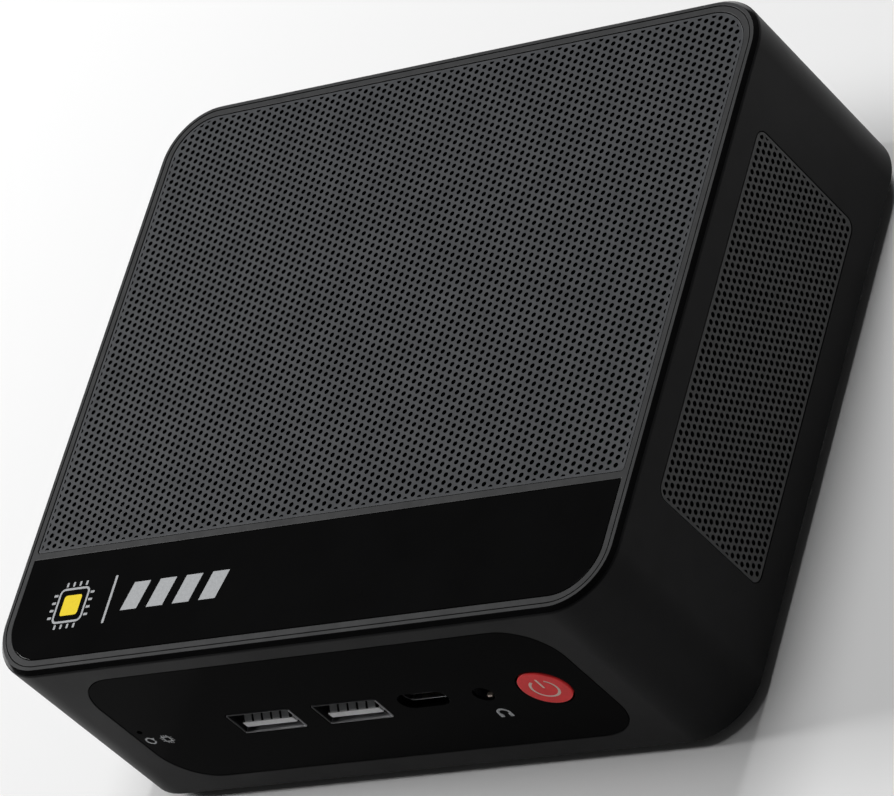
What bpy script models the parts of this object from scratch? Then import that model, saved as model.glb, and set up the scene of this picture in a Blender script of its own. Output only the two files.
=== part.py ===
"""A small desktop computer in a rounded box, modelled as the separate pieces it is assembled from.

The frame is in metres with +Z up. The origin is on the table, under the middle of the case.
The front, with the power button, faces -Y, and +X is to the right of someone facing the front.
Sizes below are in millimetres, and MM turns them into metres where meshes are made.
"""
import math

import bpy
import bmesh
from mathutils import Matrix, Vector

MM = 0.001
GAP = 0.3                      # clearance kept between neighbouring solids

# Case: the outside walls.
WIDTH, DEPTH, HEIGHT = 126.0, 112.8, 42.0
CORNER_RADIUS = 10.65
WALL = 2.0
WALL_FOOT = 2.2                # underside of the wall, above the table
WALL_TOP = 41.0
SIDE, FRONT = WIDTH / 2, DEPTH / 2
INNER_SIDE, INNER_FRONT = SIDE - WALL, FRONT - WALL
INNER_RADIUS = CORNER_RADIUS - WALL

# Top frame, with the grille behind and the plain glossy strip in front.
FRAME_DECK = 39.8              # underside of the frame's deck, inside the walls
EDGE_CHAMFER = 0.65            # bevel round the top edge of the frame's 0.7 mm cap plate
SEAT_LEVEL = 41.0              # ledge that the grille and the strip rest on
WINDOW_SIDE = 60.4
GRILLE_FRONT, GRILLE_BACK = -32.8, 53.7
STRIP_FRONT, STRIP_BACK = -53.7, -34.05
WINDOW_RADIUS = 8.05
LEDGE = 1.6

# Windows for the front panel and the rear panel, and for the side vents.
PANEL_SIDE, PANEL_LOW, PANEL_HIGH = 47.65, 6.45, 38.15
PANEL_RADIUS = 8.6
FLANGE = 1.15                  # how far a panel's hidden flange reaches past its window
FLANGE_THICKNESS = 1.0
VENT_HALF, VENT_LOW, VENT_HIGH = 33.8, 8.35, 36.05
VENT_RADIUS = 2.0
VENT_SHEET = 1.0               # thickness of the perforated part of a vent

# Underside.
COVER_LOW, COVER_HIGH = 2.3, 4.1
FOOT_X, FOOT_Y, FOOT_RADIUS, FOOT_HEIGHT = 49.0, 42.0, 6.0, 2.0
POST_X, POST_Y, POST_HALF = 56.0, 49.5, 3.5
POST_TOP = 16.1
SCREW_HEAD, SCREW_SHANK, SCREW_WAY, SCREW_SEAT = 2.6, 1.3, 1.6, 2.9

# Mainboard.
BOARD_SIDE, BOARD_FRONT = 57.0, 50.8
BOARD_LOW, BOARD_HIGH = 16.4, 18.0
PORT_FLOOR = BOARD_HIGH + GAP

# Sockets: places of their middles, and outer sizes of their metal shells.
USB_A_X = (-18.9, -1.0)
USB_A_SIZE = (13.1, 5.7)
USB_A_Z = 21.0
USB_A_TONGUE, USB_A_TONGUE_Z = (10.7, 1.4), 20.2
USB_C_X, USB_C_Z, USB_C_SIZE = 14.2, 22.0, (8.94, 3.26)
USB_C_TONGUE = (6.6, 0.7)
JACK_X, JACK_Z, JACK_RADIUS = 26.0, 21.7, 1.8
BUTTON_X, BUTTON_Z, BUTTON_RADIUS = 37.95, 21.6, 4.5
BUTTON_PROUD, BUTTON_TRAVEL = 0.1, 0.4
BUTTON_FLANGE, BUTTON_STEM = 5.6, 1.5
RESET_X, RESET_Z, RESET_HOLE = -45.6, 21.75, 0.5
RESET_TRAVEL = 0.25
SWITCH_HALF, SWITCH_LENGTH = 3.0, 4.4
PLUNGER_OUT, PLUNGER_LENGTH = 1.6, 2.6
PORT_FACE = FRONT              # the type A sockets end level with the panel's face
USB_C_FACE = FRONT - 1.2       # the type C one is set back
REAR_FACE = FRONT + BUTTON_PROUD
HDMI_X, HDMI_SIZE = (-29.0, -11.5), (15.0, 5.7)
POWER_IN_X = 5.0
USB_STACK_X = 23.5
LAN_X = 39.0
INLET_NOSE, INLET_BORE, INLET_PIN = 3.3, 2.8, 1.2
USB_STACK_SIZE, LAN_SIZE = (13.1, 13.0), (15.6, 11.5)

# Cooler.
FAN_X, FAN_Y, FAN_HALF = -16.0, 0.0, 31.0
FAN_LOW, FAN_WALL_TOP = 27.9, 37.1
FIN_FRONT, FIN_BACK, FIN_TOP = 34.0, 50.5, 38.8
PIPE_RADIUS, PIPE_Z = 2.4, 25.2

MATERIALS = {
    "matte_black": ((0.018, 0.018, 0.020), 0.48, 0.0),
    "gloss_black": ((0.006, 0.006, 0.007), 0.08, 0.0),
    "dark_metal": ((0.085, 0.088, 0.092), 0.42, 0.6),
    "red_plastic": ((0.42, 0.035, 0.04), 0.35, 0.0),
    "rubber": ((0.02, 0.02, 0.02), 0.85, 0.0),
    "steel": ((0.55, 0.56, 0.58), 0.3, 1.0),
    "copper": ((0.72, 0.36, 0.22), 0.3, 1.0),
    "aluminium": ((0.7, 0.71, 0.73), 0.35, 1.0),
    "board_green": ((0.02, 0.09, 0.05), 0.5, 0.0),
    "chip_black": ((0.02, 0.02, 0.022), 0.55, 0.0),
    "socket_grey": ((0.3, 0.31, 0.32), 0.5, 0.0),
    "socket_black": ((0.015, 0.015, 0.016), 0.5, 0.0),
}


def clear_scene():
    for item in list(bpy.data.objects):
        bpy.data.objects.remove(item, do_unlink=True)


def make_collection(name):
    collection = bpy.data.collections.new(name)
    bpy.context.scene.collection.children.link(collection)
    return collection


def make_materials():
    for name, (colour, roughness, metallic) in MATERIALS.items():
        material = bpy.data.materials.new(name)
        material.use_nodes = True
        shader = material.node_tree.nodes["Principled BSDF"]
        shader.inputs["Base Color"].default_value = (*colour, 1.0)
        shader.inputs["Roughness"].default_value = roughness
        shader.inputs["Metallic"].default_value = metallic
        material.diffuse_color = (*colour, 1.0)


def object_from(name, mesh_data, look):
    """Link an object: a part if it has a look, and a hidden tool for cutting or joining if not."""
    item = bpy.data.objects.new(name, mesh_data)
    if look:
        mesh_data.materials.append(bpy.data.materials[look])
        PARTS.objects.link(item)
    else:
        item.hide_render = True
        item.display_type = "WIRE"
        CUTTERS.objects.link(item)
    return item


def mesh_from(name, bm):
    mesh = bpy.data.meshes.new(name)
    bm.to_mesh(mesh)
    bm.free()
    mesh.shade_smooth()
    mesh.set_sharp_from_angle(angle=math.radians(30))
    return mesh


def axis_edges(bm, axis, keep=lambda middle: True):
    """The edges that run along an axis and whose middle passes the test."""
    found = []
    for edge in bm.edges:
        run = edge.verts[1].co - edge.verts[0].co
        if abs(run[axis]) > 0.9 * run.length and keep((edge.verts[0].co + edge.verts[1].co) / 2):
            found.append(edge)
    return found


def round_edges(bm, edges, radius, segments):
    bmesh.ops.bevel(bm, geom=edges, offset=radius * MM, offset_type="OFFSET", segments=segments,
                    profile=0.5, affect="EDGES")


def block(name, low, high, look=None, radius=0.0, axis="Z", segments=6, back_radius=None):
    """A box between two corners, with the edges along one axis rounded.

    With a back_radius, the edges on the +Y side get that radius and the others get radius.
    """
    size = [high[i] - low[i] for i in range(3)]
    bm = bmesh.new()
    bmesh.ops.create_cube(bm, size=1.0)
    bmesh.ops.scale(bm, vec=Vector(size) * MM, verts=bm.verts)
    index = "XYZ".index(axis)
    if back_radius is not None:
        round_edges(bm, axis_edges(bm, index, lambda middle: middle.y > 0), back_radius, segments)
        round_edges(bm, axis_edges(bm, index, lambda middle: middle.y < -size[1] * 0.49 * MM),
                    radius, segments)
    elif radius:
        round_edges(bm, axis_edges(bm, index), radius, segments)
    item = object_from(name, mesh_from(name, bm), look)
    item.location = (Vector(low) + Vector(high)) * 0.5 * MM
    return item


def cylinder(name, radius, start, end, look=None, sides=24):
    """A round bar from one point to another."""
    start, end = Vector(start), Vector(end)
    run = end - start
    bm = bmesh.new()
    bmesh.ops.create_cone(bm, cap_ends=True, segments=sides, radius1=radius * MM,
                          radius2=radius * MM, depth=run.length * MM)
    item = object_from(name, mesh_from(name, bm), look)
    item.location = (start + end) * 0.5 * MM
    item.rotation_euler = run.to_track_quat("Z", "Y").to_euler()
    return item


def boxes(name, low_high_pairs, look=None):
    """Several separate boxes in one mesh, for cutting a row of slots or joining a row of fins."""
    bm = bmesh.new()
    for low, high in low_high_pairs:
        low, high = Vector(low) * MM, Vector(high) * MM
        matrix = Matrix.Translation((low + high) / 2) @ Matrix.Diagonal((*(high - low), 1.0))
        bmesh.ops.create_cube(bm, size=1.0, matrix=matrix)
    return object_from(name, mesh_from(name, bm), look)


def boolean(target, operation, tools):
    for tool in tools:
        modifier = target.modifiers.new(tool.name, "BOOLEAN")
        modifier.operation = operation
        modifier.solver = "EXACT"
        modifier.object = tool


def cut(target, *tools):
    boolean(target, "DIFFERENCE", tools)


def join(target, *tools):
    boolean(target, "UNION", tools)


def grown(low, high, margin, axes):
    """The same box, grown by a margin along the axes named."""
    low = [low[i] - (margin if "XYZ"[i] in axes else 0) for i in range(3)]
    high = [high[i] + (margin if "XYZ"[i] in axes else 0) for i in range(3)]
    return low, high


def window(target, name, low, high, radius, axis, segments=6, margin=GAP / 2):
    """Cut a rounded window through a wall; the wall's cut edge stands off by half the gap."""
    across = "XYZ".replace(axis, "")
    low, high = grown(low, high, margin, across)
    low, high = grown(low, high, 3.0, axis)
    cut(target, block(name, low, high, radius=radius + margin, axis=axis, segments=segments))


def body_shell():
    """The wall all round, with a window in each side and a screw post in each corner."""
    shell = block("body_shell", (-SIDE, -FRONT, WALL_FOOT), (SIDE, FRONT, WALL_TOP), "matte_black",
                  CORNER_RADIUS, segments=8)
    cut(shell, block("shell_inside", (-INNER_SIDE, -INNER_FRONT, WALL_FOOT - 2),
                     (INNER_SIDE, INNER_FRONT, WALL_TOP + 2), radius=INNER_RADIUS, segments=8))
    for x in (-POST_X, POST_X):
        for y in (-POST_Y, POST_Y):
            tag = "{}_{}".format("left" if x < 0 else "right", "front" if y < 0 else "back")
            join(shell, block("post_" + tag, (x - POST_HALF, y - POST_HALF, COVER_HIGH + GAP),
                              (x + POST_HALF, y + POST_HALF, POST_TOP)))
            cut(shell, cylinder("post_hole_" + tag, SCREW_WAY, (x, y, COVER_HIGH), (x, y, 13.0),
                                sides=12))
    for name, sign in (("front", -1), ("rear", 1)):
        y0, y1 = sorted((sign * FRONT, sign * INNER_FRONT))
        window(shell, name + "_window", (-PANEL_SIDE, y0, PANEL_LOW), (PANEL_SIDE, y1, PANEL_HIGH),
               PANEL_RADIUS, "Y")
    for name, sign in (("left", -1), ("right", 1)):
        x0, x1 = sorted((sign * SIDE, sign * INNER_SIDE))
        window(shell, name + "_vent_window", (x0, -VENT_HALF, VENT_LOW), (x1, VENT_HALF, VENT_HIGH),
               VENT_RADIUS, "X", segments=4)


def top_frame():
    """The frame that closes the top: a chamfered cap plate over a deck that drops into the walls."""
    frame = block("top_frame", (-SIDE, -FRONT, WALL_TOP + GAP), (SIDE, FRONT, HEIGHT), "dark_metal",
                  CORNER_RADIUS, segments=8)
    bevel = frame.modifiers.new("edge chamfer", "BEVEL")
    bevel.width = EDGE_CHAMFER * MM
    bevel.segments = 1
    bevel.limit_method = "WEIGHT"
    weights = frame.data.attributes.new("bevel_weight_edge", "FLOAT", "EDGE")
    for edge in frame.data.edges:
        top = all(frame.data.vertices[i].co.z > 0 for i in edge.vertices)
        weights.data[edge.index].value = 1.0 if top else 0.0
    deck_side, deck_front = INNER_SIDE - GAP, INNER_FRONT - GAP
    join(frame, block("frame_deck", (-deck_side, -deck_front, FRAME_DECK),
                      (deck_side, deck_front, WALL_TOP + 2 * GAP), radius=INNER_RADIUS - GAP))
    half = GAP / 2
    cut(frame,
        block("grille_seat", (-WINDOW_SIDE - half, GRILLE_FRONT - half, SEAT_LEVEL),
              (WINDOW_SIDE + half, GRILLE_BACK + half, HEIGHT + 2), radius=0.8,
              back_radius=WINDOW_RADIUS + half),
        block("grille_opening", (-WINDOW_SIDE + LEDGE, GRILLE_FRONT + LEDGE, FRAME_DECK - 2),
              (WINDOW_SIDE - LEDGE, GRILLE_BACK - LEDGE, HEIGHT), radius=1.0,
              back_radius=WINDOW_RADIUS - LEDGE),
        block("strip_seat", (-WINDOW_SIDE - half, STRIP_FRONT - half, SEAT_LEVEL),
              (WINDOW_SIDE + half, STRIP_BACK + half, HEIGHT + 2), radius=WINDOW_RADIUS + half,
              back_radius=0.4))


def top_inserts():
    """The grille plate and the glossy strip, which lie in the frame's two seats."""
    half = GAP / 2
    block("top_grille", (-WINDOW_SIDE + half, GRILLE_FRONT + half, SEAT_LEVEL + GAP),
          (WINDOW_SIDE - half, GRILLE_BACK - half, HEIGHT - 0.1), "dark_metal", 0.65,
          back_radius=WINDOW_RADIUS - half)
    block("badge_strip", (-WINDOW_SIDE + half, STRIP_FRONT + half, SEAT_LEVEL + GAP),
          (WINDOW_SIDE - half, STRIP_BACK - half, HEIGHT - 0.05), "gloss_black",
          WINDOW_RADIUS - half, back_radius=0.2)


def flanged_panel(name, sign, look):
    """A plate that fills the window in the front (sign -1) or rear (sign 1) wall, and its flange."""
    half = GAP / 2
    y0, y1 = sorted((sign * FRONT, sign * (INNER_FRONT - GAP - 0.1)))
    plate = block(name, (-PANEL_SIDE + half, y0, PANEL_LOW + half),
                  (PANEL_SIDE - half, y1, PANEL_HIGH - half), look, PANEL_RADIUS - half, "Y")
    y0, y1 = sorted((sign * (INNER_FRONT - GAP), sign * (INNER_FRONT - GAP - FLANGE_THICKNESS)))
    join(plate, block(name + "_flange", (-PANEL_SIDE - FLANGE, y0, PANEL_LOW - FLANGE),
                      (PANEL_SIDE + FLANGE, y1, PANEL_HIGH + FLANGE),
                      radius=PANEL_RADIUS + FLANGE, axis="Y"))
    return plate


def socket_hole(panel, name, x, z, width, height, sign, radius=0.4):
    """Cut a socket's hole through a panel, with the gap all round it."""
    y0, y1 = sorted((sign * (FRONT + 3), sign * (INNER_FRONT - 5)))
    cut(panel, block(name, (x - width / 2 - GAP, y0, z - height / 2 - GAP),
                     (x + width / 2 + GAP, y1, z + height / 2 + GAP),
                     radius=radius, axis="Y", segments=3))


def round_hole(panel, name, x, z, radius, sign, sides=24):
    cut(panel, cylinder(name, radius, (x, sign * (INNER_FRONT - 5), z), (x, sign * (FRONT + 3), z),
                        sides=sides))


def front_panel():
    panel = flanged_panel("front_panel", -1, "gloss_black")
    for number, x in enumerate(USB_A_X, 1):
        socket_hole(panel, "usb_a_hole_%d" % number, x, USB_A_Z, *USB_A_SIZE, -1)
    socket_hole(panel, "usb_c_hole", USB_C_X, USB_C_Z, *USB_C_SIZE, -1,
                radius=USB_C_SIZE[1] / 2 + GAP - 0.02)
    round_hole(panel, "jack_hole", JACK_X, JACK_Z, JACK_RADIUS + 0.1, -1, 16)
    round_hole(panel, "button_hole", BUTTON_X, BUTTON_Z, BUTTON_RADIUS + GAP, -1)
    round_hole(panel, "reset_hole", RESET_X, RESET_Z, RESET_HOLE, -1, 10)


def rear_panel():
    panel = flanged_panel("rear_panel", 1, "matte_black")
    for number, x in enumerate(HDMI_X, 1):
        socket_hole(panel, "video_hole_%d" % number, x, PORT_FLOOR + HDMI_SIZE[1] / 2,
                    *HDMI_SIZE, 1)
    round_hole(panel, "power_hole", POWER_IN_X, PORT_FLOOR + 4.5, INLET_NOSE + 0.3, 1, 20)
    socket_hole(panel, "usb_stack_hole", USB_STACK_X, PORT_FLOOR + USB_STACK_SIZE[1] / 2,
                *USB_STACK_SIZE, 1)
    socket_hole(panel, "lan_hole", LAN_X, PORT_FLOOR + LAN_SIZE[1] / 2, *LAN_SIZE, 1)
    slots = []
    for number in range(14):
        x = FAN_X - 27.3 + 4.2 * number
        slots.append(((x - 1.1, INNER_FRONT - 5, 28.5), (x + 1.1, FRONT + 3, 36.0)))
    cut(panel, boxes("exhaust_slots", slots))


def vent_grille(name, sign):
    """A side vent's plate with its flange; its fine holes are too many for this solid."""
    half = GAP / 2
    x0, x1 = sorted((sign * SIDE, sign * (INNER_SIDE - GAP - 0.1)))
    plate = block(name, (x0, -VENT_HALF + half, VENT_LOW + half),
                  (x1, VENT_HALF - half, VENT_HIGH - half), "dark_metal", VENT_RADIUS - half, "X", 4)
    x0, x1 = sorted((sign * (INNER_SIDE - GAP), sign * (INNER_SIDE - GAP - FLANGE_THICKNESS)))
    join(plate, block(name + "_flange", (x0, -VENT_HALF - FLANGE, VENT_LOW - FLANGE),
                      (x1, VENT_HALF + FLANGE, VENT_HIGH + FLANGE),
                      radius=VENT_RADIUS + FLANGE, axis="X", segments=4))
    x0, x1 = sorted((sign * (SIDE - VENT_SHEET), sign * (SIDE - VENT_SHEET - 6.0)))
    cut(plate, block(name + "_air_space", (x0, 2.5 - VENT_HALF, VENT_LOW + 2.5),
                     (x1, VENT_HALF - 2.5, VENT_HIGH - 2.5)))


def bottom_cover():
    side, front = INNER_SIDE - GAP, INNER_FRONT - GAP
    cover = block("bottom_cover", (-side, -front, COVER_LOW), (side, front, COVER_HIGH),
                  "matte_black", INNER_RADIUS - GAP)
    slots = []
    for number in range(16):
        x = -33.75 + 4.5 * number
        slots.append(((x - 1.1, -20.0, COVER_LOW - 2), (x + 1.1, 20.0, COVER_HIGH + 2)))
    cut(cover, boxes("intake_slots", slots))
    number = 0
    for x in (-POST_X, POST_X):
        for y in (-POST_Y, POST_Y):
            number += 1
            cut(cover, cylinder("screw_way_%d" % number, SCREW_WAY, (x, y, 0), (x, y, 5), sides=12),
                cylinder("screw_seat_%d" % number, SCREW_SEAT, (x, y, 0), (x, y, 3.5), sides=16))
            screw = cylinder("cover_screw_%d" % number, SCREW_HEAD, (x, y, COVER_LOW), (x, y, 3.2),
                             "steel", 16)
            join(screw, cylinder("screw_shank_%d" % number, SCREW_SHANK, (x, y, 3.0), (x, y, 12.0),
                                 sides=12))
            cut(screw, cylinder("screw_drive_%d" % number, 1.0, (x, y, 2.0), (x, y, 2.8), sides=6))


def feet():
    for name, x, y in (("foot_front_left", -FOOT_X, -FOOT_Y), ("foot_front_right", FOOT_X, -FOOT_Y),
                       ("foot_rear_left", -FOOT_X, FOOT_Y), ("foot_rear_right", FOOT_X, FOOT_Y)):
        cylinder(name, FOOT_RADIUS, (x, y, 0), (x, y, FOOT_HEIGHT), "rubber")


def socket_shell(name, x, z, size, mouth, length, sign, radius=0.3, wall=0.3, segments=3):
    """A metal socket shell: a tube open at its mouth and closed at its inner end."""
    half_w, half_h = size[0] / 2, size[1] / 2
    y0, y1 = sorted((sign * mouth, sign * (mouth - length)))
    shell = block(name, (x - half_w, y0, z - half_h), (x + half_w, y1, z + half_h), "steel",
                  radius, "Y", segments)
    y0, y1 = sorted((sign * (mouth + 2), sign * (mouth - length + 0.5)))
    cut(shell, block(name + "_mouth", (x - half_w + wall, y0, z - half_h + wall),
                     (x + half_w - wall, y1, z + half_h - wall), radius=max(radius - wall, 0.1),
                     axis="Y", segments=segments))
    return shell


def socket_tongue(name, x, z, shell_size, tongue_size, tongue_z, mouth, length, sign, look,
                  recess=0.3, wall=0.3, radius=0.1):
    """The insulator in a shell: a block across the inner end, and the tongue that stands on it."""
    half_w, half_h = shell_size[0] / 2 - wall - GAP, shell_size[1] / 2 - wall - GAP
    inner = mouth - length + 0.5 + GAP
    y0, y1 = sorted((sign * inner, sign * (inner + 2.0)))
    base = block(name, (x - half_w, y0, z - half_h), (x + half_w, y1, z + half_h), look, radius, "Y", 2)
    y0, y1 = sorted((sign * (inner + 1.0), sign * (mouth - recess)))
    join(base, block(name + "_blade", (x - tongue_size[0] / 2, y0, tongue_z - tongue_size[1] / 2),
                     (x + tongue_size[0] / 2, y1, tongue_z + tongue_size[1] / 2)))
    return base


def front_sockets():
    for number, x in enumerate(USB_A_X, 1):
        socket_shell("usb_a_shell_%d" % number, x, USB_A_Z, USB_A_SIZE, PORT_FACE, 14.0, -1)
        socket_tongue("usb_a_tongue_%d" % number, x, USB_A_Z, USB_A_SIZE, USB_A_TONGUE,
                      USB_A_TONGUE_Z, PORT_FACE, 14.0, -1, "socket_grey")
    socket_shell("usb_c_shell", USB_C_X, USB_C_Z, USB_C_SIZE, USB_C_FACE, 8.0, -1, radius=1.6,
                 segments=5)
    socket_tongue("usb_c_tongue", USB_C_X, USB_C_Z, USB_C_SIZE, USB_C_TONGUE, USB_C_Z, USB_C_FACE,
                  8.0, -1, "socket_black", radius=0.9)
    back = -(INNER_FRONT - GAP - FLANGE_THICKNESS - GAP)
    jack = block("audio_jack", (JACK_X - 3.2, back, PORT_FLOOR), (JACK_X + 3.2, back + 12.0, 25.3),
                 "socket_black")
    cut(jack, cylinder("jack_bore", JACK_RADIUS, (JACK_X, back - 2, JACK_Z),
                       (JACK_X, back + 11.0, JACK_Z), sides=16))


def push_switch(prefix, x, z, front, travel, look_body, radius):
    """A side-push switch on the board edge, and the plunger that slides into its bore."""
    face = front + PLUNGER_OUT
    body = block(prefix + "_switch_body", (x - SWITCH_HALF, face, PORT_FLOOR),
                 (x + SWITCH_HALF, face + SWITCH_LENGTH, z + SWITCH_HALF), look_body)
    bore_end = front + PLUNGER_LENGTH + travel + GAP
    cut(body, cylinder(prefix + "_switch_bore", radius + GAP, (x, front, z), (x, bore_end, z), sides=16))
    cylinder(prefix + "_switch_plunger", radius, (x, front, z), (x, front + PLUNGER_LENGTH, z),
             "socket_grey", 16)


def power_button():
    """The round cap, its retaining flange behind the panel, and the stem that meets the switch."""
    behind = -(INNER_FRONT - GAP - FLANGE_THICKNESS - GAP)
    cap = cylinder("power_button", BUTTON_RADIUS, (BUTTON_X, -FRONT - BUTTON_PROUD, BUTTON_Z),
                   (BUTTON_X, behind + 0.3, BUTTON_Z), "red_plastic", 32)
    join(cap, cylinder("button_flange", BUTTON_FLANGE, (BUTTON_X, behind, BUTTON_Z),
                       (BUTTON_X, behind + 0.9, BUTTON_Z)),
         cylinder("button_stem", BUTTON_STEM, (BUTTON_X, behind + 0.5, BUTTON_Z),
                  (BUTTON_X, behind + 2.0, BUTTON_Z), sides=16))
    push_switch("power", BUTTON_X, BUTTON_Z, behind + 2.0 + GAP, BUTTON_TRAVEL, "chip_black", 1.6)


def reset_switch():
    """The recessed switch that a pin reaches through the small hole at the panel's left end."""
    behind = -(INNER_FRONT - GAP - FLANGE_THICKNESS - GAP)
    push_switch("reset", RESET_X, RESET_Z, behind + 0.8, RESET_TRAVEL, "chip_black", 0.9)


def video_sockets():
    z = PORT_FLOOR + HDMI_SIZE[1] / 2
    for number, x in enumerate(HDMI_X, 1):
        socket_shell("video_shell_%d" % number, x, z, HDMI_SIZE, REAR_FACE, 11.5, 1, radius=1.0)
        socket_tongue("video_tongue_%d" % number, x, z, HDMI_SIZE, (10.0, 1.4), z + 0.4, REAR_FACE,
                      11.5, 1, "socket_black", recess=1.2, radius=0.6)


def power_inlet():
    """The barrel socket for the supply lead, with its centre pin."""
    z = PORT_FLOOR + 4.5
    jack = block("power_inlet", (POWER_IN_X - 4.5, 43.0, PORT_FLOOR),
                 (POWER_IN_X + 4.5, INNER_FRONT - GAP - FLANGE_THICKNESS - GAP, z + 4.5), "socket_black")
    join(jack, cylinder("inlet_nose", INLET_NOSE, (POWER_IN_X, 50.0, z), (POWER_IN_X, REAR_FACE, z),
                        sides=20))
    cut(jack, cylinder("inlet_bore", INLET_BORE, (POWER_IN_X, 46.0, z), (POWER_IN_X, 60.0, z), sides=20))
    join(jack, cylinder("inlet_pin", INLET_PIN, (POWER_IN_X, 45.0, z), (POWER_IN_X, REAR_FACE - 1.0, z),
                        sides=12))


def usb_stack():
    """Two sockets in one tall shell, with one insulator that carries both tongues."""
    low, high, back = PORT_FLOOR, PORT_FLOOR + USB_STACK_SIZE[1], REAR_FACE - 15.0
    half = USB_STACK_SIZE[0] / 2
    shell = block("usb_stack_shell", (USB_STACK_X - half, back, low),
                  (USB_STACK_X + half, REAR_FACE, high), "steel", 0.3, "Y", 2)
    inner = back + 3.0
    for number, z in enumerate((low + 2.9, high - 2.9), 1):
        cut(shell, block("usb_stack_mouth_%d" % number, (USB_STACK_X - 6.25, inner - 0.2, z - 2.55),
                         (USB_STACK_X + 6.25, REAR_FACE + 2, z + 2.55)))
    cut(shell, block("usb_stack_back", (USB_STACK_X - 6.25, back + 0.4, low + 0.35),
                     (USB_STACK_X + 6.25, inner, high - 0.35)))
    rear = back + 0.4 + GAP
    body = block("usb_stack_tongues", (USB_STACK_X - 5.9, rear, low + 0.7),
                 (USB_STACK_X + 5.9, inner - 0.4, high - 0.7), "socket_black")
    for number, z in enumerate((low + 3.5, high - 2.3), 1):
        join(body, block("usb_stack_blade_%d" % number, (USB_STACK_X - 5.5, inner - 1.0, z - 0.9),
                         (USB_STACK_X + 5.5, REAR_FACE - 0.5, z + 0.9)))


def lan_socket():
    low, high = PORT_FLOOR, PORT_FLOOR + LAN_SIZE[1]
    half = LAN_SIZE[0] / 2
    jack = block("lan_socket", (LAN_X - half, REAR_FACE - 21.0, low), (LAN_X + half, REAR_FACE, high),
                 "steel", 0.3, "Y", 2)
    cut(jack, block("lan_mouth", (LAN_X - 5.9, REAR_FACE - 14.0, low + 1.2),
                    (LAN_X + 5.9, REAR_FACE + 2, low + 8.0)),
        block("lan_latch_way", (LAN_X - 3.0, REAR_FACE - 14.0, low + 7.0),
              (LAN_X + 3.0, REAR_FACE + 2, low + 10.0)))


def mainboard():
    board = block("mainboard", (-BOARD_SIDE, -BOARD_FRONT, BOARD_LOW),
                  (BOARD_SIDE, BOARD_FRONT, BOARD_HIGH), "board_green", 2.0, segments=3)
    for number, (x, y) in enumerate(((-54.5, -48.3), (54.5, -48.3), (-54.5, 48.3), (54.5, 48.3)), 1):
        cut(board, cylinder("board_hole_%d" % number, 1.5, (x, y, 15), (x, y, 20), sides=12))


def cooler():
    """Processor, base plate, two heat pipes and the stack of fins at the exhaust."""
    cpu_y = -2.0
    cpu = block("processor", (FAN_X - 17, cpu_y - 14, BOARD_HIGH + GAP), (FAN_X + 17, cpu_y + 14, 19.1),
                "board_green")
    join(cpu, block("processor_die", (FAN_X - 6, cpu_y - 9, 19.0), (FAN_X + 6, cpu_y + 9, 19.7)))
    block("cooler_base", (FAN_X - 22, cpu_y - 18, 20.0), (FAN_X + 22, cpu_y + 18, 22.5), "copper",
          2.0, segments=3)
    for name, sign in (("heat_pipe_left", -1), ("heat_pipe_right", 1)):
        route = [(FAN_X + sign * 6, cpu_y - 15)]
        corner = Vector((FAN_X + sign * 15, 30.0))
        for step in range(7):
            angle = math.radians(90.0 * step / 6)
            route.append((corner.x - sign * 9 * math.cos(angle), corner.y + 9 * math.sin(angle)))
        route.append((FAN_X + sign * 28, 39.0))
        tube(name, [(x, y, PIPE_Z) for x, y in route], PIPE_RADIUS, "copper")
    stack = block("fin_stack", (FAN_X - 29.5, FIN_FRONT, PIPE_Z + PIPE_RADIUS + GAP),
                  (FAN_X + 29.5, FIN_BACK, FIN_TOP), "aluminium")
    slots = []
    for number in range(18):
        x = FAN_X - 28.05 + 3.3 * number
        slots.append(((x - 1.1, FIN_FRONT - 2, 28.7), (x + 1.1, FIN_BACK + 2, FIN_TOP - 0.6)))
    cut(stack, boxes("fin_slots", slots))


def tube(name, points, radius, look, sides=2):
    """A round tube through the points given, with closed ends."""
    curve = bpy.data.curves.new(name, "CURVE")
    curve.dimensions = "3D"
    curve.bevel_depth = radius * MM
    curve.bevel_resolution = sides
    curve.use_fill_caps = True
    spline = curve.splines.new("POLY")
    spline.points.add(len(points) - 1)
    for point, place in zip(spline.points, points):
        point.co = (*(Vector(place) * MM), 1.0)
    return object_from(name, curve, look)


def fan():
    """The blower: a tray with a spiral wall, its lid with the inlet, and the rotor on its shaft."""
    centre = (FAN_X, FAN_Y)
    housing = block("fan_housing", (FAN_X - FAN_HALF, -FAN_HALF, FAN_LOW),
                    (FAN_X + FAN_HALF, FAN_HALF, FAN_WALL_TOP), "chip_black", 4.0, segments=4)
    floor = FAN_LOW + 1.0
    cut(housing, cylinder("fan_chamber", 28.5, (*centre, floor), (*centre, 40), sides=40),
        block("fan_outlet", (FAN_X - 25, 8, floor), (FAN_X + 25, FAN_HALF + 3, 40)))
    join(housing, cylinder("motor_boss", 4.5, (*centre, floor - 0.5), (*centre, 31.0)))
    cut(housing, cylinder("shaft_bore", 1.5, (*centre, floor), (*centre, 33.0), sides=16))
    lid = block("fan_lid", (FAN_X - FAN_HALF, -FAN_HALF, FAN_WALL_TOP + GAP),
                (FAN_X + FAN_HALF, FAN_HALF, FAN_WALL_TOP + GAP + 0.8), "steel", 4.0, segments=4)
    cut(lid, cylinder("fan_inlet", 19.0, (*centre, 36), (*centre, 40), sides=40))
    rotor = cylinder("fan_rotor", 9.5, (*centre, 31.5), (*centre, 36.7), "chip_black", 32)
    join(rotor, cylinder("fan_shaft", 1.2, (*centre, floor + GAP), (*centre, 32.0), sides=16),
         rotor_blades(centre))


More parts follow.
